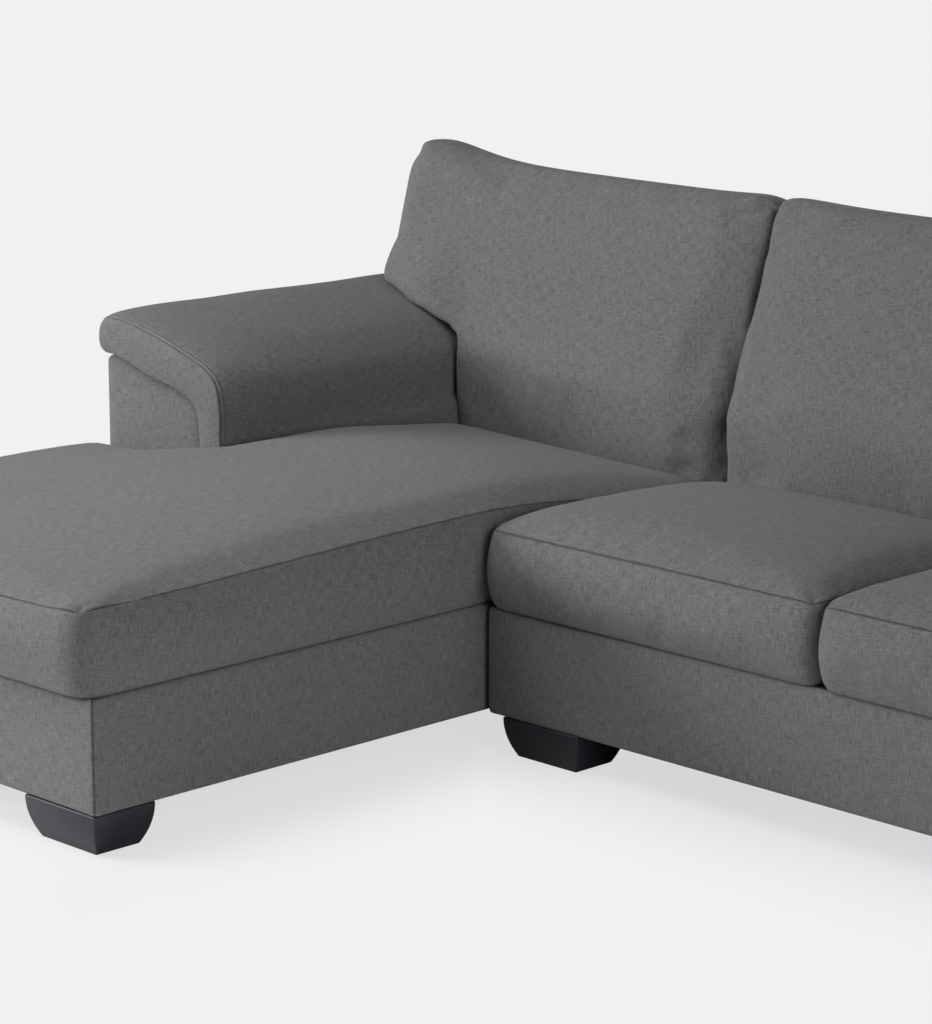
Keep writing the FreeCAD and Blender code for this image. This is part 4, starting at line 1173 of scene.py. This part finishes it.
def studioFloor():
    bm = bmesh.new()
    bmesh.ops.create_grid(bm, x_segments=1, y_segments=1, size=40)
    mesh = bpy.data.meshes.new("floor")
    bm.to_mesh(mesh)
    bm.free()
    floor = bpy.data.objects.new("floor", mesh)
    scene.collection.objects.link(floor)
    desk = Desk("floorPaper")
    place = desk.node("TexCoord", {}, {}, output="Object")
    beside = [desk.outside(place, (low + high) / 2, (high - low) / 2) for low, high in footprint]
    nearest = beside[0].maths("MINIMUM", beside[0], beside[1])
    reach = studio["shadowReach"]
    far = desk.node("MapRange", {"interpolation_type": "SMOOTHSTEP"},
                    {0: nearest, 1: reach[0], 2: reach[1], 3: 0.0, 4: 1.0})
    camera = desk.node("LightPath", {}, {}, output="Is Camera Ray")
    paper = desk.finish(Base_Color=(studio["floor"],) * 3 + (1,), Roughness=0.9, Specular_IOR_Level=0.1)
    glow = desk.node("Emission", {}, {"Color": (studio["backdrop"],) * 3 + (1,), "Strength": 1.0})
    share = camera * (studio["evenFloor"] + (1 - studio["evenFloor"]) * far)
    shaded = desk.tree.nodes["Principled BSDF"].outputs[0]
    mixed = desk.node("MixShader", {}, {0: share, 1: Signal(desk, shaded), 2: glow})
    desk.feed(desk.tree.nodes["Material Output"].inputs["Surface"], mixed)
    mesh.materials.append(paper)


def studioWorld():
    world = bpy.data.worlds.new("studio")
    scene.world = world
    world.use_nodes = True
    tree = world.node_tree
    light = tree.nodes["Background"]
    light.inputs["Strength"].default_value = studio["world"]
    seen = tree.nodes.new("ShaderNodeBackground")
    seen.inputs["Color"].default_value = (studio["backdrop"],) * 3 + (1,)
    rays = tree.nodes.new("ShaderNodeLightPath")
    mixer = tree.nodes.new("ShaderNodeMixShader")
    tree.links.new(rays.outputs["Is Camera Ray"], mixer.inputs[0])
    tree.links.new(light.outputs[0], mixer.inputs[1])
    tree.links.new(seen.outputs[0], mixer.inputs[2])
    tree.links.new(mixer.outputs[0], tree.nodes["World Output"].inputs["Surface"])


def softBox(name, place, target, size, power, spread=math.pi):
    lamp = bpy.data.lights.new(name, "AREA")
    lamp.shape = "RECTANGLE"
    lamp.size, lamp.size_y = size
    lamp.energy = power
    lamp.spread = spread
    holder = bpy.data.objects.new(name, lamp)
    scene.collection.objects.link(holder)
    holder.location = place
    holder.rotation_euler = (Vector(target) - Vector(place)).to_track_quat("-Z", "Y").to_euler()


lamps = {
    # each lamp's place, what it points at, its size and its power, and a spread where it's narrowed
    "frontSoftBox": ((-5.8, -4.9, 2.7), (-0.3, 0, 0.5), (3.0, 2.6), 440),
    "overheadSoftBox": ((-1.9, -1.5, 3.0), (-1.0, -0.6, 0.4), (2.0, 2.0), 18, 1.5),
    "sideSoftBox": ((6.0, -1.2, 2.4), (0.2, 0, 0.4), (4.0, 3.0), 165),
    "rearSoftBox": ((1.0, 6.5, 2.2), (0, 0.8, 0.5), (4.0, 3.0), 110),
}


def studioCamera():
    data = bpy.data.cameras.new("camera")
    data.lens = studio["lens"]
    data.sensor_width = 36
    data.clip_end = 100
    camera = bpy.data.objects.new("camera", data)
    scene.collection.objects.link(camera)
    camera.location = studio["camera"]
    camera.rotation_euler = (math.radians(90 - studio["pitch"]), 0, math.radians(studio["yaw"]))
    scene.camera = camera


studioFloor()
studioWorld()
for name, lamp in lamps.items():
    softBox(name, *lamp)
studioCamera()
scene.view_settings.view_transform = "Standard"
